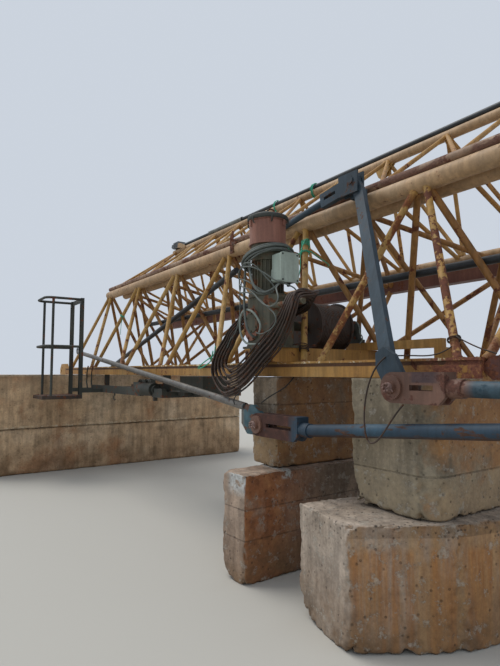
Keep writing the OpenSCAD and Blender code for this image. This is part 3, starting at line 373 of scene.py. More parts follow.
finishOf = {
    "chord_ochre_paint": "front_bottom_chord rear_bottom_chord sister_low_chord",
    "ochre_paint": "front_web rear_web bottom_bracing front_foot_lug rear_foot_lug winch_frame "
                   "upper_front_web upper_rear_web upper_cross_bars sister_web",
    "tan_chord_paint": "top_chord top_end_lug upper_apex_chord upper_rear_chord sister_top_chord",
    "rusty_rail_steel": "front_rail rear_rail",
    "muddy_floor_steel": "basket_floor",
    "red_brown_primer": "front_end_lug rear_end_lug sister_outer_chord",
    "stained_tan_chord": "upper_front_chord",
    "rusty_fork_steel": "clevis_pin clevis_tie_bar fork_pin",
    "blue_grey_paint": "top_clevis lying_tie_bar hanger_bar",
    "rusty_blue_fork": "fork_tie_bar",
    "dark_grey_paint": "drum_bearing trolley_frame trolley_wheels trolley_sheaves basket_rails",
    "dark_pipe_paint": "top_pipe sister_pipe stored_pipe",
    "galvanised_pipe": "fork_eye",
    "galvanised_sheet": "lamp_box",
    "winch_green_paint": "gearbox motor",
    "cover_red_paint": "brake_cover",
    "box_green_paint": "terminal_box",
    "wire_rope_steel": "drum rope_hank rope_lead tie_wire",
    "cable_sheath": "cable_coil cable_tail cable_loop",
    "black_cable": "thin_cable",
    "wall_concrete": "wall_lower_course wall_upper_course",
    "middle_low_concrete": "mid_lower_block",
    "middle_concrete": "mid_upper_block",
    "right_low_concrete": "right_lower_block",
    "right_concrete": "right_upper_block",
}
for finish, members in finishOf.items():
    for name in members.split():
        mesh = nodes[name].data
        mesh.materials.clear()
        mesh.materials.append(paint[finish])


def addObject(name, data):
    item = bpy.data.objects.new(name, data)
    bpy.context.scene.collection.objects.link(item)
    return item


# Camera: the photo's own place, height and tilt; its focal length was solved for 666 pixels of height
sensor, focalPixels, heightPixels = 36, 510, 666
cameraData = bpy.data.cameras.new("camera")
camera = addObject("camera", cameraData)
bpy.context.scene.camera = camera
cameraData.lens = sensor * focalPixels / heightPixels
cameraData.sensor_width = sensor
turn, tilt = math.radians(55.5), math.radians(-4.4)
back = Vector((math.sin(turn) * math.cos(tilt), -math.cos(turn) * math.cos(tilt), math.sin(tilt)))
camera.location = (2.898, -2.682, 1.330)
camera.rotation_mode = "QUATERNION"
camera.rotation_quaternion = (-back).to_track_quat("-Z", "Y")


def setStage():
    # a pale floor under a pale sky, and one soft lamp
    material, tree, shader = startMaterial("pale_floor")
    shader.inputs["Base Color"].default_value = linear("b9b6ae")
    shader.inputs["Roughness"].default_value = 0.95
    half = 60
    mesh = bpy.data.meshes.new("floor")
    corners = [(-half, -half, 0), (half, -half, 0), (half, half, 0), (-half, half, 0)]
    mesh.from_pydata(corners, [], [(0, 1, 2, 3)])
    mesh.materials.append(material)
    addObject("floor", mesh)
    world = bpy.data.worlds.new("sky")
    bpy.context.scene.world = world
    world.use_nodes = True
    background = world.node_tree.nodes["Background"]
    background.inputs["Color"].default_value = (0.80, 0.87, 0.97, 1)
    background.inputs["Strength"].default_value = 0.75
    lamp = bpy.data.lights.new("soft_sun", "SUN")
    lamp.energy = 1.6
    lamp.angle = math.radians(35)
    lamp.color = (1.0, 0.96, 0.9)
    sun = addObject("soft_sun", lamp)
    sun.rotation_mode = "QUATERNION"
    sun.rotation_quaternion = Vector((0.55, 0.25, -1.0)).to_track_quat("-Z", "Y")
    bpy.context.scene.view_settings.view_transform = "Standard"


setStage()
print("stage: camera, floor and light")


def bands(rows, count, closed=False):
    # the faces between rows of points that run round in rings
    return [(i * count + k, i * count + (k + 1) % count, j * count + (k + 1) % count, j * count + k)
            for i in range(rows if closed else rows - 1) for j in [(i + 1) % rows] for k in range(count)]


# Building helper: all meshes are made in the row frame, in metres
class Builder:
    def __init__(self):
        self.verts, self.faces, self.smooth = [], [], []

    def add(self, verts, faces, smooth=True):
        start = len(self.verts)
        self.verts += [tuple(v) for v in verts]
        self.faces += [tuple(start + i for i in f) for f in faces]
        self.smooth += [smooth] * len(faces)

    def close(self, first, last):
        self.add(first, [tuple(reversed(range(len(first))))], False)
        self.add(last, [tuple(range(len(last)))], False)

    def tube(self, path, radius, sides=12, closed=False):
        path = [Vector(p) for p in path]
        n = len(path)
        radii = radius if isinstance(radius, list) else [radius] * n
        side = None
        rings = []
        for i in range(n):
            ahead = path[(i + 1) % n] if closed or i < n - 1 else path[i]
            behind = path[i - 1] if closed or i > 0 else path[i]
            along = (ahead - behind).normalized()
            if side is None:
                side = along.orthogonal().normalized()
            side = (side - along * side.dot(along)).normalized()
            other = along.cross(side)
            rings.append([path[i] + radii[i] * (math.cos(2 * math.pi * k / sides) * side
                                                + math.sin(2 * math.pi * k / sides) * other)
                          for k in range(sides)])
        self.add(chain.from_iterable(rings), bands(n, sides, closed))
        if not closed:
            self.close(rings[0], rings[-1])

    def lathe(self, centre, axis, profile, sides=32):
        axis = Vector(axis).normalized()
        side = axis.orthogonal().normalized()
        other = axis.cross(side)
        verts = []
        for along, radius in profile:
            for k in range(sides):
                a = 2 * math.pi * k / sides
                verts.append(Vector(centre) + axis * along
                             + radius * (math.cos(a) * side + math.sin(a) * other))
        self.add(verts, bands(len(profile), sides))
        self.close(verts[:sides], verts[-sides:])

    def boxAt(self, low, high):
        corners = [(x, y, z) for z in (low[2], high[2]) for y in (low[1], high[1]) for x in (low[0], high[0])]
        self.add(corners, [(0, 2, 3, 1), (4, 5, 7, 6), (0, 1, 5, 4), (2, 6, 7, 3),
                           (0, 4, 6, 2), (1, 3, 7, 5)], False)

    def prism(self, outline, low, high, plane="xz"):
        n = len(outline)
        first, last = [[(u, w, v) if plane == "xz" else (w, u, v) for u, v in outline] for w in (low, high)]
        self.add(first + last, [(i, (i + 1) % n, n + (i + 1) % n, n + i) for i in range(n)], False)
        self.close(first, last)

    def make(self, name, finish, body="root", bevel=0.0):
        mesh = bpy.data.meshes.new(name)
        mesh.from_pydata(self.verts, [], self.faces)
        for polygon, flag in zip(mesh.polygons, self.smooth):
            polygon.use_smooth = flag
        mesh.materials.append(paint[finish])
        mesh.validate()
        item = addObject(name, mesh)
        if bevel:
            edge = item.modifiers.new("worn_edges", "BEVEL")
            edge.width = bevel
            edge.segments = 2
            edge.limit_method = "ANGLE"
        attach(item, body)
        return item


def smoothWay(controls, step):
    # points every step along a curve that passes through the controls
    way = [Vector(c) for c in controls]
    way = [way[0] * 2 - way[1]] + way + [way[-1] * 2 - way[-2]]
    out = []
    for p0, p1, p2, p3 in zip(way, way[1:], way[2:], way[3:]):
        count = max(2, round((p2 - p1).length / step))
        for k in range(count):
            t = k / count
            out.append(0.5 * (2 * p1 + (p2 - p0) * t + (2 * p0 - 5 * p1 + 4 * p2 - p3) * t * t
                              + (3 * p1 - p0 - 3 * p2 + p3) * t ** 3))
    return out + [way[-2]]


def easedWay(points, step=0.008, rounds=8):
    # even steps along a way, with the corners where its pieces meet eased off
    way, spare = [Vector(points[0])], 0.0
    for a, b in zip(points, points[1:]):
        a, b = Vector(a), Vector(b)
        gap = (b - a).length
        while gap and spare + gap >= step:
            a = a.lerp(b, (step - spare) / gap)
            way.append(a)
            gap, spare = (b - a).length, 0.0
        spare += gap
    if spare < step / 2:
        way.pop()
    way.append(Vector(points[-1]))
    for _ in range(rounds):
        way = [way[0]] + [(a + b * 2 + c) / 4 for a, b, c in zip(way, way[1:], way[2:])] + [way[-1]]
    return way


def lengthOf(points):
    return sum((Vector(b) - Vector(a)).length for a, b in zip(points, points[1:]))


def lengthOf(points):
    return sum((Vector(b) - Vector(a)).length for a, b in zip(points, points[1:]))


def middleOf(name):
    return [(a + b) / 2 for a, b in zip(*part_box(name))]


# Places, in metres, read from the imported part
bay = 1.15
node4X = -0.23
chordLow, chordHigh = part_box("front_bottom_chord")
chordTop = chordHigh.z
halfWidth, chordZ = -middleOf("front_bottom_chord")[1], middleOf("front_bottom_chord")[2]
topZ = middleOf("top_chord")[2]
drumX, drumZ = middleOf("drum")[0], middleOf("drum")[2]
motorX, motorY, motorZ = drumX - 0.060, -0.513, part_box("motor")[0].z
coilZ = motorZ + 0.291
gearFront = motorY - 0.127
front, up, right, down = (0, -1, 0), (0, 0, 1), (1, 0, 0), (0, 0, -1)


def topX(i):
    return node4X + (i - 4) * bay


def bottomX(i):
    return node4X + (i - 3.5) * bay


def metres(places):
    return [tuple(v / 1000 for v in place) for place in places]


def curveWay(pulls, count):
    # points of one curve with two pulls
    a, b, c, d = [Vector(v) for v in pulls]
    return [(1 - t) ** 3 * a + 3 * t * (1 - t) ** 2 * b + 3 * t * t * (1 - t) * c + t ** 3 * d
            for t in (k / count for k in range(count + 1))]


def layCord(name, points, diameter, finish, stands=()):
    # one open curve along the cord's real way, in place of the nodes that it stands for
    data = bpy.data.curves.new(name, "CURVE")
    data.dimensions = "3D"
    data.bevel_depth = diameter / 2
    data.bevel_resolution = 2
    data.use_fill_caps = True
    spline = data.splines.new("POLY")
    spline.points.add(len(points) - 1)
    for knot, p in zip(spline.points, points):
        knot.co = (*p, 1)
    data.materials.append(paint[finish])
    item = addObject(name, data)
    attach(item, "root")
    if stands:
        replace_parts(item, *stands)


# The hoist rope: off the drum to the arm beside the gearbox, then round and round in loops
hoistRope = {
    "lanes": 5, "layers": 3, "diameter": 0.014, "layerStep": 0.0168,
    "lead": [(0.090, -0.190, 1.8473), (0.235, -0.250, 1.9013), (0.462, -0.686, 1.9153),
             (0.462, -0.686, 1.7633)],
    # X and Z of the loops' inner line: down the right strand, round the bend, up the left one
    "inner": metres([(350, 1735), (285, 1665), (196, 1600), (87, 1530), (-83, 1420), (-205, 1362),
                     (-280, 1352), (-335, 1390), (-322, 1445), (-255, 1520), (-200, 1600)]),
    # how far the outer line lies from it
    "spread": metres([(112, 0), (112, -52), (95, -115), (60, -140), (20, -175), (-40, -190),
                      (-130, -190), (-225, -75), (-190, 20), (-110, 70), (-55, 75)]),
    # back round the left end and the rear of the gearbox, and over the arm
    "back": metres([(-186, -560, 1672), (-176, -440, 1690), (-80, -395, 1705), (80, -380, 1730),
                    (220, -385, 1765), (310, -430, 1795), (350, -530, 1812), (350, -622, 1803)]),
    "backSpread": metres([(0, 0, 112)] * 4 + [(50, 0, 100), (100, 0, 60), (112, 0, 10), (112, 0, 0)]),
    # which way the layers lie on each other there
    "backPush": [(-1, 0, 0), (-0.8, 0.8, 0), (0, 1, 0), (0, 1, 0), (0, 1, 0), (0, 0.75, 0.75), up, up],
}


def loopHoistRope():
    rope = hoistRope
    layers = range(rope["layers"])
    slots = [(lane, layer) for lane in range(rope["lanes"])
             for layer in (layers[::-1] if lane % 2 == 0 else layers)]
    deep = rope["lanes"] - 1 + (rope["layers"] - 1) / rope["layers"]
    places = [(1 - (lane + layer / rope["layers"]) / deep, layer * rope["layerStep"])
              for lane, layer in slots]
    places.append(places[-1])
    controls = []
    for (share, off), (nextShare, nextOff) in zip(places, places[1:]):
        for (x, z), (dx, dz) in zip(rope["inner"], rope["spread"]):
            controls.append((x + dx * share, gearFront - 0.012 - off, z + dz * share))
        for k, (place, spread, push) in enumerate(zip(rope["back"], rope["backSpread"], rope["backPush"])):
            f = min(1.0, max(0.0, (k - 2) / 2))
            s = share + (nextShare - share) * f
            o = off + (nextOff - off) * f
            controls.append(tuple(p + d * s + n * o for p, d, n in zip(place, spread, push)))
    return controls[:-3]


ropeWay = smoothWay(curveWay(hoistRope["lead"], 18)[:-2] + loopHoistRope(), 0.03)
layCord("hoist_rope", ropeWay, hoistRope["diameter"], "wire_rope_steel", ["rope_lead", "rope_hank"])

# The motor's cable: turns beside each other, askew round the motor
motorCable = {"diameter": 0.018, "radius": 0.168, "step": 0.0208, "tilt": 20, "points": 40, "shift": 10}


def coilCable():
    # six turns round a middle one; the last quarter of each leads over to the next
    cable, count = motorCable, motorCable["points"]
    slots = [(cable["step"] * math.cos(math.radians(60 * k)),
              cable["step"] * math.sin(math.radians(60 * k))) for k in range(6)] + [(0.0, 0.0)]
    tilted = Matrix.Rotation(math.radians(-cable["tilt"]), 4, "Y")
    centre = Vector((motorX, motorY, coilZ))
    points = []
    for here, ahead in zip(slots, slots[1:] + slots[-1:]):
        for k in range(count):
            angle = 2 * math.pi * k / count + math.pi
            f = max(0.0, (k - count + cable["shift"]) / cable["shift"])
            out, rise = [a + (b - a) * f for a, b in zip(here, ahead)]
            r = cable["radius"] + out
            points.append(centre + tilted @ Vector((r * math.cos(angle), r * math.sin(angle), rise)))
    return points[:-1]


layCord("motor_cable_coil", coilCable(), motorCable["diameter"], "cable_sheath", ["cable_coil"])

cableWays = {
    "motor_cable_tail": ([(motorX - 0.107, motorY - 0.1245, coilZ - 0.0706),
                          (motorX - 0.074, motorY - 0.159, coilZ - 0.264),
                          (motorX + 0.040, gearFront - 0.130, drumZ - 0.0944),
                          (motorX + 0.040, gearFront - 0.0026, drumZ - 0.0944)],
                         motorCable["diameter"], "cable_sheath", "cable_tail"),
    "motor_cable_loop": ([(motorX + 0.0105, motorY - 0.168, coilZ - 0.0292),
                          (motorX + 0.088, motorY - 0.228, coilZ - 0.240),
                          (motorX + 0.190, motorY - 0.210, motorZ - 0.070),
                          (motorX + 0.190, motorY - 0.047, motorZ + 0.0822)],
                         motorCable["diameter"], "cable_sheath", "cable_loop"),
    "thin_black_cable": ([(-0.040, gearFront - 0.028, drumZ - 0.4164),
                          (-0.110, gearFront - 0.052, drumZ - 0.481),
                          (-0.230, gearFront - 0.064, drumZ - 0.511),
                          (-0.215, gearFront - 0.0346, drumZ - 0.568)],
                         0.008, "black_cable", "thin_cable"),
}
for name, (pulls, diameter, finish, node) in cableWays.items():
    layCord(name, curveWay(pulls, 24), diameter, finish, [node])

# The wire round the big fork's pin: down to its lowest place, and up again
forkPin = (1.228, -0.646, 1.256)
wireHalves = [
    curveWay([tuple(p + d for p, d in zip(forkPin, offset)) for offset in half], 16)
    for half in ([(-0.060, -0.0207, 0.150), (-0.170, -0.090, 0.060), (-0.190, -0.066, -0.270),
                  (-0.130, -0.066, -0.280)],
                 [(-0.130, -0.066, -0.280), (-0.070, -0.066, -0.290), (-0.020, -0.062, -0.170),
                  (0.060, -0.040, -0.0802)])]
layCord("tie_wire_round_fork", wireHalves[0][:-1] + wireHalves[1], 0.009, "wire_rope_steel", ["tie_wire"])


def wrapWay(start, end, radii, turns, count=14):
    # turns of cord round the line from start to end
    start, end = Vector(start), Vector(end)
    along = (end - start).normalized()
    side = (along.cross(Vector(up)) if abs(along.z) < 0.9 else along.orthogonal()).normalized()
    other = side.cross(along)
    steps = round(turns * count)
    return [start + (end - start) * (k / steps) + side * radii[0] * math.cos(2 * math.pi * k / count)
            + other * radii[1] * math.sin(2 * math.pi * k / count) for k in range(steps + 1)]


def runOn(before, winding, after, count=14):
    # the winding gives up part of a turn at either end, so that the cord runs straight on
    def bend(*places):
        a, b, c, d = (Vector(p) for p in places)
        return (b - a).angle(c - b, 3) + (c - b).angle(d - c, 3)
    if before:
        cut = min(range(count), key=lambda k: bend(before[-2], before[-1], winding[k], winding[k + 1]))
        winding = winding[cut:]
    if after:
        cut = min(range(count), key=lambda k: bend(winding[-2 - k], winding[-1 - k], after[0], after[1]))
        winding = winding[:len(winding) - cut]
    return before + winding + after


# Loose cables over the winch and round its gearbox, as they were thrown there: what each is made of,
# its diameter and the places that it passes, in millimetres
looseCables = {
    "cable_over_gearbox": ("cable_sheath", 0.010, [
        (137, -470, 2176), (145, -573, 2182), (78, -668, 2146), (-13, -706, 2092), (-105, -706, 2046),
        (-168, -668, 1990), (-158, -672, 1925), (-95, -703, 1893), (-19, -708, 1885), (60, -704, 1862),
        (124, -698, 1818), (221, -700, 1756), (298, -706, 1706), (316, -706, 1660), (274, -700, 1622),
        (207, -690, 1600), (121, -680, 1587), (45, -669, 1600)]),
    "cable_loop_under_box": ("cable_sheath", 0.010, [
        (-146, -688, 2010), (-105, -712, 2046), (-30, -722, 2064), (53, -702, 2050), (121, -652, 2004),
        (170, -606, 1956), (216, -540, 1926), (232, -480, 1900), (226, -455, 1860), (200, -490, 1828),
        (160, -580, 1842), (110, -650, 1880), (50, -694, 1930), (-20, -712, 1968), (-100, -716, 1990)]),
    "cable_loop_inner": ("cable_sheath", 0.009, [
        (-158, -672, 2030), (-100, -698, 2075), (-10, -716, 2090), (62, -690, 2062), (118, -640, 1980),
        (150, -600, 1920), (148, -606, 1876), (96, -664, 1862), (20, -704, 1900), (-60, -716, 1930),
        (-130, -692, 1960)]),
    "cable_loop_over_flange": ("cable_sheath", 0.010, [
        (30, -716, 1892), (84, -716, 1862), (135, -716, 1818), (198, -714, 1776), (266, -712, 1756),
        (322, -708, 1772), (332, -700, 1812), (298, -684, 1850), (250, -652, 1886), (205, -600, 1918),
        (180, -560, 1936)]),
    "cable_left_of_gearbox": ("cable_sheath", 0.009, [
        (-168, -650, 1990), (-186, -652, 1900), (-176, -656, 1791), (-186, -662, 1700),
        (-200, -680, 1619), (-230, -704, 1566), (-262, -712, 1510)]),
    "cable_on_bearing": ("pale_hose", 0.009, [
        (-10, 290, 1722), (30, 290, 1734), (72, 288, 1720), (96, 284, 1678), (105, 280, 1636),
        (132, 276, 1610), (140, 268, 1580), (120, 262, 1550)]),
    "pale_hose_round_boss": ("pale_hose", 0.016, [
        (62, -658, 1592), (86, -664, 1650), (52, -672, 1712), (-3, -680, 1756), (-84, -680, 1768),
        (-140, -674, 1730), (-154, -672, 1655), (-125, -672, 1575), (-58, -666, 1530), (81, -656, 1522)]),
    "thin_cable_to_eye_plate": ("black_cable", 0.008, [
        (205, -472, 1295), (212, -512, 1262), (196, -548, 1226), (150, -584, 1190), (104, -610, 1160),
        (60, -636, 1124)]),
}
for name, (finish, diameter, places) in looseCables.items():
    layCord(name, smoothWay(metres(places), 0.012), diameter, finish)

# Green twine that ties the coil to the web and the pipe to the light section, and a few loose ends
headGap, footGap = 0.028, 0.060


def webBar(top, foot, side=-1):
    # where a bar of the web starts on the top chord and ends on a bottom chord
    return Vector((topX(top) + headGap, 0, topZ)), Vector((bottomX(foot) - footGap, side * halfWidth, chordZ))


post, knee = webBar(4, 4), webBar(5, 5)
rearFoot = Vector((post[1].x, halfWidth, chordZ))
hanging = Vector((topX(1) - headGap, 0, topZ)), Vector((bottomX(0) + footGap, -halfWidth, chordZ))


def wrapBar(bar, start, end, turns):
    return wrapWay(bar[0].lerp(bar[1], start), bar[0].lerp(bar[1], end), (0.0355, 0.0355), turns)


def wrapPipe(start, end, turns):
    # round the pipe on top and the chord below it
    return wrapWay((start, 0.690, 3.149), (end, 0.690, 3.149), (0.051, 0.075), turns, 20)


twineWays = {
    "twine_coil_to_post": runOn(
        smoothWay(metres([(146, -470, 2205), (100, -390, 2180), (20, -270, 2205), (-55, -170, 2260)]), 0.015),
        wrapBar(post, 0.19, 0.13, 5.5),
        smoothWay(metres([(-90, -125, 2330), (-60, -180, 2240), (-20, -215, 2120), (-36, -235, 1990)]),
                  0.02)),
    "twine_post_to_rear": runOn(
        [], wrapBar(post, 0.235, 0.215, 2.4),
        smoothWay([post[0].lerp(post[1], 0.21) + Vector((0.034, 0.010, 0)), (-0.030, -0.020, 2.225),
                   (0.000, 0.060, 2.170), post[0].lerp(rearFoot, 0.30) + Vector((0, -0.034, 0))], 0.02)),
    "twine_hank_to_chord": smoothWay(metres([(-440, -706, 1525), (-630, -610, 1468), (-865, -550, 1425),
                                             (-1032, -515, 1384), (-1070, -509, 1363)]), 0.02),
    "twine_hank_second": smoothWay(metres([(-478, -706, 1490), (-694, -600, 1421), (-890, -545, 1383),
                                           (-1037, -512, 1363)]), 0.02),
    "twine_hanging_from_web": runOn(
        [], wrapBar(hanging, 0.35, 0.37, 3.4),
        smoothWay([hanging[0].lerp(hanging[1], 0.375) + Vector((0.034, 0, -0.012)), (-3.860, -0.185, 2.000),
                   (-3.876, -0.190, 1.845)], 0.02)),
    "twine_round_pipe": wrapPipe(-0.872, -0.836, 3.3),
    "twine_round_pipe_end": runOn(
        [], wrapPipe(-1.486, -1.458, 2.5),
        smoothWay(metres([(-1455, 652, 3090), (-1450, 640, 3030), (-1462, 640, 2960)]), 0.02), 20),
}
knotWays = {
    "dark_tie_at_post_foot": runOn(
        [], wrapBar(post, 0.895, 0.86, 3.8),
        smoothWay(metres([(250, -420, 1530), (200, -470, 1520), (150, -500, 1470)]), 0.015)),
    "tie_wire_along_chord": runOn(
        smoothWay(metres([(1180, -662, 1412), (1235, -570, 1414), (1300, -510, 1412), (1350, -470, 1425),
                          (1380, -440, 1450)]), 0.02),
        wrapBar(knee, 0.885, 0.87, 2.6),
        smoothWay(metres([(1400, -425, 1510), (1470, -450, 1478), (1560, -470, 1440), (1640, -476, 1414)]),
                  0.02)),
}
for ways, finish in ((twineWays, "green_twine"), (knotWays, "wire_rope_steel")):
    for name, way in ways.items():
        layCord(name, easedWay(way), 0.010 if "hank" in name else 0.007, finish)
print("stage: cords", round(lengthOf(ropeWay), 1), "m of hoist rope")


# Ballast blocks: cast, then chipped along their edges and worn on every face, always inwards
def castBlock(name, outline, z0, z1, step, finish, wear, seed, chips=()):
    n = len(outline)
    corners = [Vector((x, y)) for x, y in outline]
    planes = []
    for a, b in zip(corners, corners[1:] + corners[:1]):
        along = (b - a).normalized()
        planes.append((a, Vector((-along.y, along.x))))
    rim = []
    for a, b in zip(corners, corners[1:] + corners[:1]):
        count = max(2, round((b - a).length / step))
        rim += [a + (b - a) * (k / count) for k in range(count)]
    middle = sum(corners, Vector((0, 0))) / n
    rows = max(2, round((z1 - z0) / step))
    rings = [[(p.x, p.y, z0 + (z1 - z0) * r / rows) for p in rim] for r in range(rows + 1)]
    size = min((middle - c).length for c in corners)
    for inset in (step * 0.7, step * 1.6, step * 3, step * 6, size * 0.55):
        keep = 1 - inset / size
        rings.append([(*(middle + (p - middle) * keep), z1) for p in rim])
    drift = Vector((seed * 3.7, seed * 1.3, seed * 5.1))

    def worn(v):
        p = Vector(v)
        near = sorted([((p.xy - a).dot(inward), Vector((inward.x, inward.y, 0)))
                       for a, inward in planes]
                      + [(z1 - p.z, Vector((0, 0, -1))), (p.z - z0 + 0.004, Vector((0, 0, 1)))],
                      key=lambda pair: pair[0])
        coarse = noise.noise((p + drift) * 5.0)
        sharp = noise.noise((p + drift) * 24.0)
        reach = wear * (0.30 + 1.4 * max(0.0, coarse) + 1.1 * max(0.0, sharp + 0.05))
        for place, radius in chips:
            reach += max(0.0, radius - (p - Vector(place)).length) * (0.7 + 0.9 * sharp)
        reach = max(0.004, reach)
        shift = Vector((0, 0, 0))
        for far, inward in near[1:3]:
            if far < reach:
                shift += (near[0][1] + inward) * ((reach - far) * 0.42)
        rough = (0.0025 * (1 + noise.noise((p + drift) * 2.3))
                 + 0.0012 * (1 + noise.noise((p + drift) * 30.0))
                 + 0.0010 * (1 + noise.noise((p + drift) * 75.0)))
        return p + shift + near[0][1] * rough

    verts = [worn(v) for v in chain.from_iterable(rings)]
    m = len(rim)
    builder = Builder()
    builder.add(verts, bands(len(rings), m))
    last = (len(rings) - 1) * m
    builder.faces += [tuple(last + k for k in range(m)), tuple(reversed(range(m)))]
    builder.smooth += [True, False]
    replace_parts(builder.make(name, finish), name.replace("cast_", ""))


# the mesh is finer where the photo is close to the blocks
wallStep, stackStep = 0.030, 0.0115
wallLow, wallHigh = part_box("wall_lower_course")
upperLow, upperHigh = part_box("wall_upper_course")
midLow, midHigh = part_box("mid_upper_block")
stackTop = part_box("right_upper_block")[1]
lowTurn = math.radians(-12)


def turned(u, v):
    # the right lower block lies askew under the stack
    return (1.113 + u * math.cos(lowTurn) - v * math.sin(lowTurn),
            -0.128 + u * math.sin(lowTurn) + v * math.cos(lowTurn))


def rectangle(low, high):
    return [(low.x, low.y), (high.x, low.y), (high.x, high.y), (low.x, high.y)]


castBlock("cast_wall_lower_course", rectangle(wallLow, wallHigh), wallLow.z, wallHigh.z, wallStep,
          "wall_concrete", 0.02, 1)
castBlock("cast_wall_upper_course", rectangle(upperLow, upperHigh), upperLow.z, upperHigh.z, wallStep,
          "wall_concrete", 0.02, 2)
castBlock("cast_mid_lower_block", [(-0.072, -0.867), (0.182, -0.857), (0.150, 0.700), (-0.190, 0.690)],
          0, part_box("mid_lower_block")[1].z, stackStep, "middle_low_concrete", 0.024, 3,
          [((-0.072, -0.867, 0.0), 0.10), ((0.182, -0.857, 0.0), 0.07), ((-0.072, -0.867, 0.68), 0.05)])
castBlock("cast_mid_upper_block", rectangle(midLow, midHigh), midLow.z, midHigh.z, stackStep,
          "middle_concrete", 0.022, 4, [((0.100, -0.540, 0.68), 0.05)])
castBlock("cast_right_lower_block",
          [turned(*c) for c in ((-0.345, -0.750), (0.145, -0.750), (0.345, -0.230), (0.345, 0.750),
                                (-0.345, 0.750))],
          0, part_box("right_lower_block")[1].z, stackStep, "right_low_concrete", 0.026, 5,
          [((*turned(-0.345, -0.750), 0.0), 0.16), ((*turned(0.145, -0.750), 0.0), 0.07),
           ((*turned(0.25, -0.49), 0.0), 0.06), ((*turned(0.145, -0.750), 0.6), 0.05)])
castBlock("cast_right_upper_block",
          [(0.797, -0.540), (1.256, -0.540), (1.336, -0.460), (1.336, 0.700), (0.797, 0.700)],
          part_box("right_upper_block")[0].z, stackTop.z, stackStep, "right_concrete", 0.024, 6,
          [((0.797, -0.540, 0.60), 0.13), ((0.95, -0.540, 0.60), 0.06), ((1.256, -0.540, 0.60), 0.05),
           ((1.336, -0.30, 0.60), 0.05)])
print("stage: ballast blocks")


# Round bars in place of the plain ones, each with a weld at both ends
def weldedBar(builder, a, b, diameter, trim=(0.0, 0.0)):
    a, b = Vector(a), Vector(b)
    along = (b - a).normalized()
    a, b = a + along * trim[0], b - along * trim[1]
    r = diameter / 2
    span = (b - a).length
    stops = [0.0, 0.006, 0.014, 0.022, span / 2, span - 0.022, span - 0.014, span - 0.006, span]
    swell = [0.005, 0.006, 0.004, 0.0, 0.0, 0.0, 0.004, 0.006, 0.005]
    builder.tube([a + along * t for t in stops], [r + w for w in swell], 14)


webSize, braceSize, upperSize, sisterSize = 0.046, 0.032, 0.032, 0.040
tubeRadius = (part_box("top_chord")[1].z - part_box("top_chord")[0].z) / 2


def sideWeb(node, side):
    builder = Builder()
    ends = (tubeRadius - 0.006, 0.044)
    for i in range(7):
        weldedBar(builder, (topX(i) - headGap, 0, topZ), (bottomX(i - 1) + footGap, side * halfWidth, chordZ),
                  webSize, trim=ends)
        if i < 6:
            weldedBar(builder, (topX(i) + headGap, 0, topZ), (bottomX(i) - footGap, side * halfWidth, chordZ),
                      webSize, trim=ends)
    # the rear web takes the ochre paint darkened as painted shade, with more rust
    item = builder.make(node + "_tubes",
                        "peeling_ochre_paint" if side < 0 else "shaded_rusty_ochre_paint")
    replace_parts(item, node)


sideWeb("front_web", -1)
sideWeb("rear_web", 1)

bracing = Builder()
braceZ = chordTop - braceSize / 2
inner = halfWidth - 0.050
for i in range(-1, 6):
    weldedBar(bracing, (bottomX(i), -inner, braceZ), (bottomX(i), inner, braceZ), braceSize)
    if i < 5:
        turn = 1 if i % 2 == 0 else -1
        weldedBar(bracing, (bottomX(i), turn * halfWidth, braceZ),
                  (bottomX(i + 1), -turn * halfWidth, braceZ), braceSize, trim=(0.075, 0.075))
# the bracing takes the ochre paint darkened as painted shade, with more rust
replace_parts(bracing.make("bottom_bracing_tubes", "shaded_rusty_ochre_paint"), "bottom_bracing")

# The light section on top: its zigzag bars and cross bars
upperX0 = topX(0)
upperZ = middleOf("upper_front_chord")[2]
rearY, rearZ = middleOf("upper_rear_chord")[1:]
apexY, apexZ = middleOf("upper_apex_chord")[1:]


def upperX(i):
    return upperX0 + 0.245 + bay / 2 * i


for node, y, z in (("upper_front_web", 0, upperZ), ("upper_rear_web", rearY, rearZ)):
    builder = Builder()
    for i in range(1, 12):
        peak = (upperX(i) + 0.060, apexY, apexZ)
        feet = [upperX(i)] + ([upperX(i + 1)] if i < 11 else []) + ([upperX(0)] if i == 1 else [])
        for x in feet:
            weldedBar(builder, (x, y, z), peak, upperSize, trim=(0.028, 0.036))
    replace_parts(builder.make(node + "_tubes", "ochre_paint"), node)
builder = Builder()
for i in range(12):
    x = upperX(i) - 0.038
    weldedBar(builder, (x, 0, upperZ), (x, rearY, rearZ), upperSize, trim=(0.028, 0.028))
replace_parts(builder.make("upper_cross_tubes", "ochre_paint"), "upper_cross_bars")

# The sister section behind
sisterTop = middleOf("sister_top_chord")
sisterLow = middleOf("sister_low_chord")
sisterOut = middleOf("sister_outer_chord")
builder = Builder()
for i in range(6):
    x0, x1 = topX(i), topX(i + 1)
    peak = (x0 + bay / 2, sisterTop[1], sisterTop[2])
    low0, low1 = (x0, sisterLow[1], sisterLow[2]), (x1, sisterLow[1], sisterLow[2])
    out0, out1 = (x0, sisterOut[1], sisterOut[2]), (x1, sisterOut[1], sisterOut[2])
    for a, b, ends in ((peak, low1, (0.046, 0.05)), (peak, low0, (0.046, 0.05)), (peak, out1, (0.046, 0.05)),
                       (peak, out0, (0.046, 0.05)), (low1, out1, (0.05, 0.05)), (low0, out1, (0.05, 0.05))):
        weldedBar(builder, a, b, sisterSize, trim=ends)
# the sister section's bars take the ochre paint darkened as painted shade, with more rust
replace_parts(builder.make("sister_web_tubes", "shaded_rusty_ochre_paint"), "sister_web")
print("stage: lattice bars")


# Small fittings: caps, lids, screws, clips and collars that the eye picks out
def hexBolts(builder, places, axis, radius, height):
    for place in places:
        builder.lathe(place, axis, [(0, radius * 1.7), (0.003, radius * 1.7)], 20)
        builder.lathe(Vector(place) + Vector(axis) * 0.003, axis,
                      [(0, radius), (height * 0.8, radius), (height, radius * 0.8)], 6)


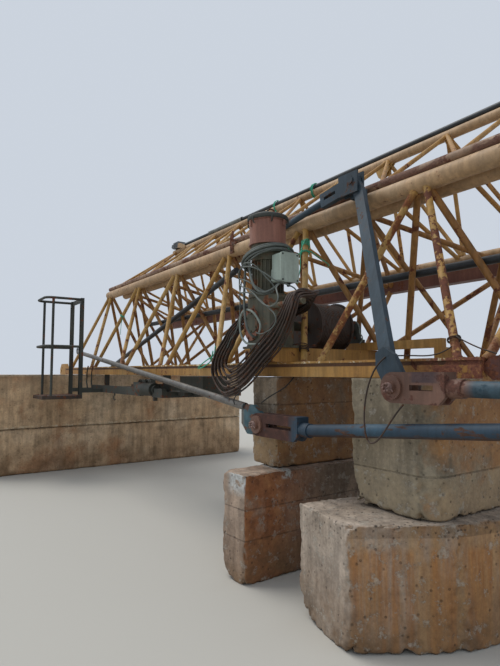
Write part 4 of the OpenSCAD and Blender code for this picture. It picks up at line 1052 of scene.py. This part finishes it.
# Brake: domed cap with a rolled rim, three clips and two lifting eyes
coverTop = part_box("brake_cover")[1].z
cap = Builder()
cap.lathe((motorX, motorY, coverTop - 0.020), up,
          [(0.0, 0.143), (0.003, 0.147), (0.010, 0.149), (0.026, 0.149), (0.031, 0.146), (0.034, 0.139),
           (0.044, 0.118), (0.050, 0.070), (0.052, 0.0005)], 64)
for k in range(2):
    x = motorX - 0.034 + 0.068 * k
    cap.tube([(x - 0.020, motorY - 0.020, coverTop + 0.026), (x - 0.020, motorY - 0.020, coverTop + 0.050),
              (x - 0.012, motorY - 0.012, coverTop + 0.064), (x, motorY, coverTop + 0.069),
              (x + 0.012, motorY + 0.012, coverTop + 0.064), (x + 0.020, motorY + 0.020, coverTop + 0.050),
              (x + 0.020, motorY + 0.020, coverTop + 0.026)], 0.007, 10)
for angle in (160, 215, 280, 335, 40, 100):
    swing = math.radians(angle)
    out = Vector((math.cos(swing), math.sin(swing), 0))
    base = Vector((motorX, motorY, coverTop - 0.052)) + out * 0.139
    cap.tube([base, base + out * 0.012 + Vector((0, 0, 0.012)), base + out * 0.014 + Vector((0, 0, 0.034)),
              base + out * 0.006 + Vector((0, 0, 0.050))], 0.005, 8)
cap.make("brake_cap", "dark_grey_paint")

# Terminal box: lid with a gasket, four screws and two glands below
boxLow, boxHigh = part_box("terminal_box")
lid = Builder()


def boxOutline(grow, r):
    # the box's face, grown by a little and with round corners
    u0, v0, u1, v1 = boxLow.y - grow, boxLow.z - grow, boxHigh.y + grow, boxHigh.z + grow
    return [(cu + r * math.cos(math.radians(a)), cv + r * math.sin(math.radians(a)))
            for cu, cv, start in ((u1 - r, v0 + r, -90), (u1 - r, v1 - r, 0), (u0 + r, v1 - r, 90),
                                  (u0 + r, v0 + r, 180)) for a in range(start, start + 91, 15)]


lid.prism(boxOutline(0.003, 0.018), boxHigh.x + 0.002, boxHigh.x + 0.014, "yz")
lid.make("box_lid", "box_green_paint", bevel=0.003)
rim = Builder()
rim.prism(boxOutline(-0.001, 0.015), boxHigh.x - 0.002, boxHigh.x + 0.003, "yz")
for y in (boxLow.y + 0.012, boxHigh.y - 0.012):
    for z in (boxLow.z + 0.012, boxHigh.z - 0.012):
        rim.lathe((boxHigh.x + 0.013, y, z), right,
                  [(0, 0.0065), (0.003, 0.0065), (0.0045, 0.005), (0.003, 0.003), (0.003, 0.0005)], 16)
for x, y in ((0.120, -0.545), (0.165, -0.480)):
    rim.lathe((x, y, boxLow.z + 0.002), down,
              [(0, 0.016), (0.010, 0.016), (0.011, 0.012), (0.024, 0.012), (0.026, 0.008),
               (0.026, 0.0005)], 6)
rim.make("box_gasket_screws_glands", "black_cable")

# Gearbox: rusty oval cover behind the round boss, fixing bolts, filler and drain plugs
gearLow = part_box("gearbox")[0]
bossX, bossZ = drumX - 0.066, drumZ + 0.012
ovalX, ovalZ = bossX - 0.012, bossZ - 0.012


def onOval(width, height, angles):
    return [(ovalX + width * math.cos(math.radians(a)), ovalZ + height * math.sin(math.radians(a)))
            for a in angles]


plate = Builder()
plate.prism(onOval(0.088, 0.116, range(0, 360, 8)), gearFront - 0.010, gearFront + 0.001)
plate.make("oval_cover", "oval_rust", bevel=0.003)
bolts = Builder()
hexBolts(bolts, [(x, gearFront - 0.009, z) for x, z in onOval(0.076, 0.104, range(22, 382, 45))],
         front, 0.007, 0.007)
hexBolts(bolts, [(x, y, gearLow.z + 0.016) for x in (gearLow.x + 0.014, drumX + 0.155)
                 for y in (-0.600, -0.430, -0.270)], up, 0.011, 0.011)
hexBolts(bolts, [(drumX + 0.080, gearFront, 1.560), (drumX + 0.085, gearFront, 1.800)], front, 0.012, 0.012)
hexBolts(bolts, [(drumX + x, 0.270, z) for x in (-0.03, 0.03) for z in (1.60, 1.72)], front,
         0.007, 0.007)
hexBolts(bolts, [(x, -0.6405, z) for x in (-0.110, 0.150) for z in (1.43, 1.47)], front, 0.010, 0.009)
bolts.make("winch_bolts", "rusty_rail_steel")

# Pins: castellated nuts with split pins through them
pins = Builder()
for name, outer in (("clevis_pin", 0.026), ("fork_pin", 0.024)):
    low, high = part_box(name)
    x, z = (low.x + high.x) / 2, (low.z + high.z) / 2
    pins.lathe((x, low.y + 0.001, z), front,
               [(0, outer), (0.010, outer), (0.012, outer * 0.82), (0.017, outer * 0.82),
                (0.018, outer * 0.6), (0.012, outer * 0.5), (0.012, 0.0005)], 28)
    for k in range(6):
        a = math.radians(60 * k + 12)
        pins.lathe((x + outer * 0.72 * math.cos(a), low.y - 0.016, z + outer * 0.72 * math.sin(a)), front,
                   [(0, 0.006), (0.006, 0.0055), (0.0065, 0.0005)], 8)
    pins.tube([(x - 0.030, low.y - 0.013, z + 0.010), (x + 0.028, low.y - 0.013, z - 0.008),
               (x + 0.036, low.y - 0.010, z - 0.020)], 0.003, 8)
pins.make("nuts_and_split_pins", "pin_steel")

# Weld beads where two chord lengths meet, on the outer side and the top
joint = Builder()
jointX = -1.985
for side in (-1, 1):
    inside, edge, outside = side * 0.40, side * 0.5, side * 0.5 + side * 0.003
    joint.boxAt((jointX - 0.004, min(edge, outside), chordLow.z),
                (jointX + 0.004, max(edge, outside), chordTop))
    joint.boxAt((jointX - 0.004, min(inside, edge), chordTop),
                (jointX + 0.004, max(inside, edge), chordTop + 0.003))
joint.make("chord_joint_welds", "shaded_rusty_ochre_paint", bevel=0.001)

# Floodlight: neck and hood at its end, bracket that holds it on the chord
lampLow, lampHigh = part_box("lamp_box")
lamp = Builder()
lamp.prism([(lampLow.x - 0.110, lampLow.z + 0.048), (lampLow.x - 0.060, lampLow.z + 0.014),
            (lampLow.x + 0.004, lampLow.z + 0.010), (lampLow.x + 0.004, lampHigh.z - 0.012),
            (lampLow.x - 0.020, lampHigh.z - 0.010), (lampLow.x - 0.090, lampHigh.z - 0.004)],
           lampLow.y + 0.022, lampHigh.y - 0.022)
lamp.prism([(lampLow.x + 0.012, lampHigh.z - 0.002), (lampHigh.x - 0.010, lampHigh.z - 0.002),
            (lampHigh.x - 0.020, lampHigh.z - 0.0005), (lampLow.x + 0.020, lampHigh.z - 0.0005)],
           lampLow.y + 0.010, lampHigh.y - 0.010)
for k in range(5):
    lamp.boxAt((lampLow.x + 0.018 + 0.026 * k, lampLow.y - 0.004, lampLow.z + 0.012),
               (lampLow.x + 0.024 + 0.026 * k, lampLow.y, lampHigh.z - 0.012))
lamp.make("floodlight_hood", "galvanised_sheet", bevel=0.003)
bracket = Builder()
bracket.prism([(lampHigh.x - 0.020, lampLow.z - 0.004), (lampHigh.x + 0.210, lampLow.z - 0.050),
               (lampHigh.x + 0.215, lampLow.z - 0.010), (lampHigh.x + 0.060, lampLow.z + 0.052),
               (lampHigh.x - 0.004, lampLow.z + 0.056)], lampLow.y - 0.002, lampLow.y + 0.006)
bracket.make("lamp_bracket", "tan_chord_paint", bevel=0.002)

# Torn grey sleeve left on the end of the pipe on top
pipeY, pipeZ = middleOf("top_pipe")[1:]
sleeve = Builder()
rings = []
for i in range(34):
    x = -2.96 + 0.80 * i / 33
    ring = []
    for k in range(20):
        a = 2 * math.pi * k / 20
        ragged = 0.10 * noise.noise(Vector((k * 0.9, 3.1, i * 0.05))) if i < 3 else 0.0
        crease = 0.004 * noise.noise(Vector((x * 9, math.cos(a) * 2, math.sin(a) * 2)))
        r = 0.026 + 0.004 * max(0.0, math.sin(a)) + crease
        ring.append((x + ragged, pipeY + r * math.cos(a) * 1.25, pipeZ + r * math.sin(a)))
    rings.append(ring)
sleeve.add(chain.from_iterable(rings), bands(34, 20))
sleeve.make("torn_sleeve", "grey_sleeve")

# Rusty clamp standing against the top chords, and the folded gusset under the apex chord
clamp = Builder()
clamp.prism([(-1.246, 2.480), (-1.196, 2.480), (-1.196, 2.655), (-1.186, 2.690), (-1.206, 2.700),
             (-1.222, 2.668), (-1.246, 2.655)], -0.072, -0.0605)
clamp.boxAt((-1.250, -0.074, 2.56), (-1.140, -0.060, 2.585))
hexBolts(clamp, [(-1.221, -0.0720, 2.52), (-1.221, -0.0720, 2.62)], front, 0.009, 0.008)
clamp.make("rusty_clamp", "rusty_rail_steel", bevel=0.002)
apexGusset = Builder()
for y in (0.672, 0.700):
    apexGusset.prism([(-0.060, 3.104), (0.150, 3.104), (0.060, 3.010), (0.010, 2.985), (-0.020, 3.010)],
                     y, y + 0.008)
apexGusset.make("apex_gusset", "peeling_ochre_paint", bevel=0.002)

# Forged eye on the far end of the galvanised pipe
eye = Builder()
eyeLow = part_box("fork_eye")[0]
eyeAt = Vector((eyeLow.x - 0.045, -0.435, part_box("fork_eye")[1].z - 0.006))
eye.tube([eyeAt + 0.040 * Vector((math.cos(a), 0, math.sin(a))) for a in
          (2 * math.pi * k / 28 for k in range(28))], 0.015, 12, closed=True)
eye.make("pipe_eye", "galvanised_sheet")

# Basket: tread bars on its floor and foot plates under its posts; they travel with the trolley
floorLow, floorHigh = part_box("basket_floor")
basket = Builder()
for k in range(11):
    y = floorLow.y + 0.030 + (floorHigh.y - floorLow.y - 0.06) * k / 10
    basket.boxAt((floorLow.x + 0.015, y - 0.003, floorHigh.z),
                 (floorHigh.x - 0.015, y + 0.003, floorHigh.z + 0.003))
for x in (floorLow.x + 0.020, floorHigh.x - 0.060):
    for y in (floorLow.y + 0.020, floorHigh.y - 0.060):
        basket.boxAt((x, y, floorHigh.z), (x + 0.040, y + 0.040, floorHigh.z + 0.005))
        hexBolts(basket, [(x + 0.034, y + 0.034, floorHigh.z + 0.005)], up, 0.004, 0.004)
basket.make("basket_tread", "rusty_rail_steel", "trolley")
print("stage: fittings")
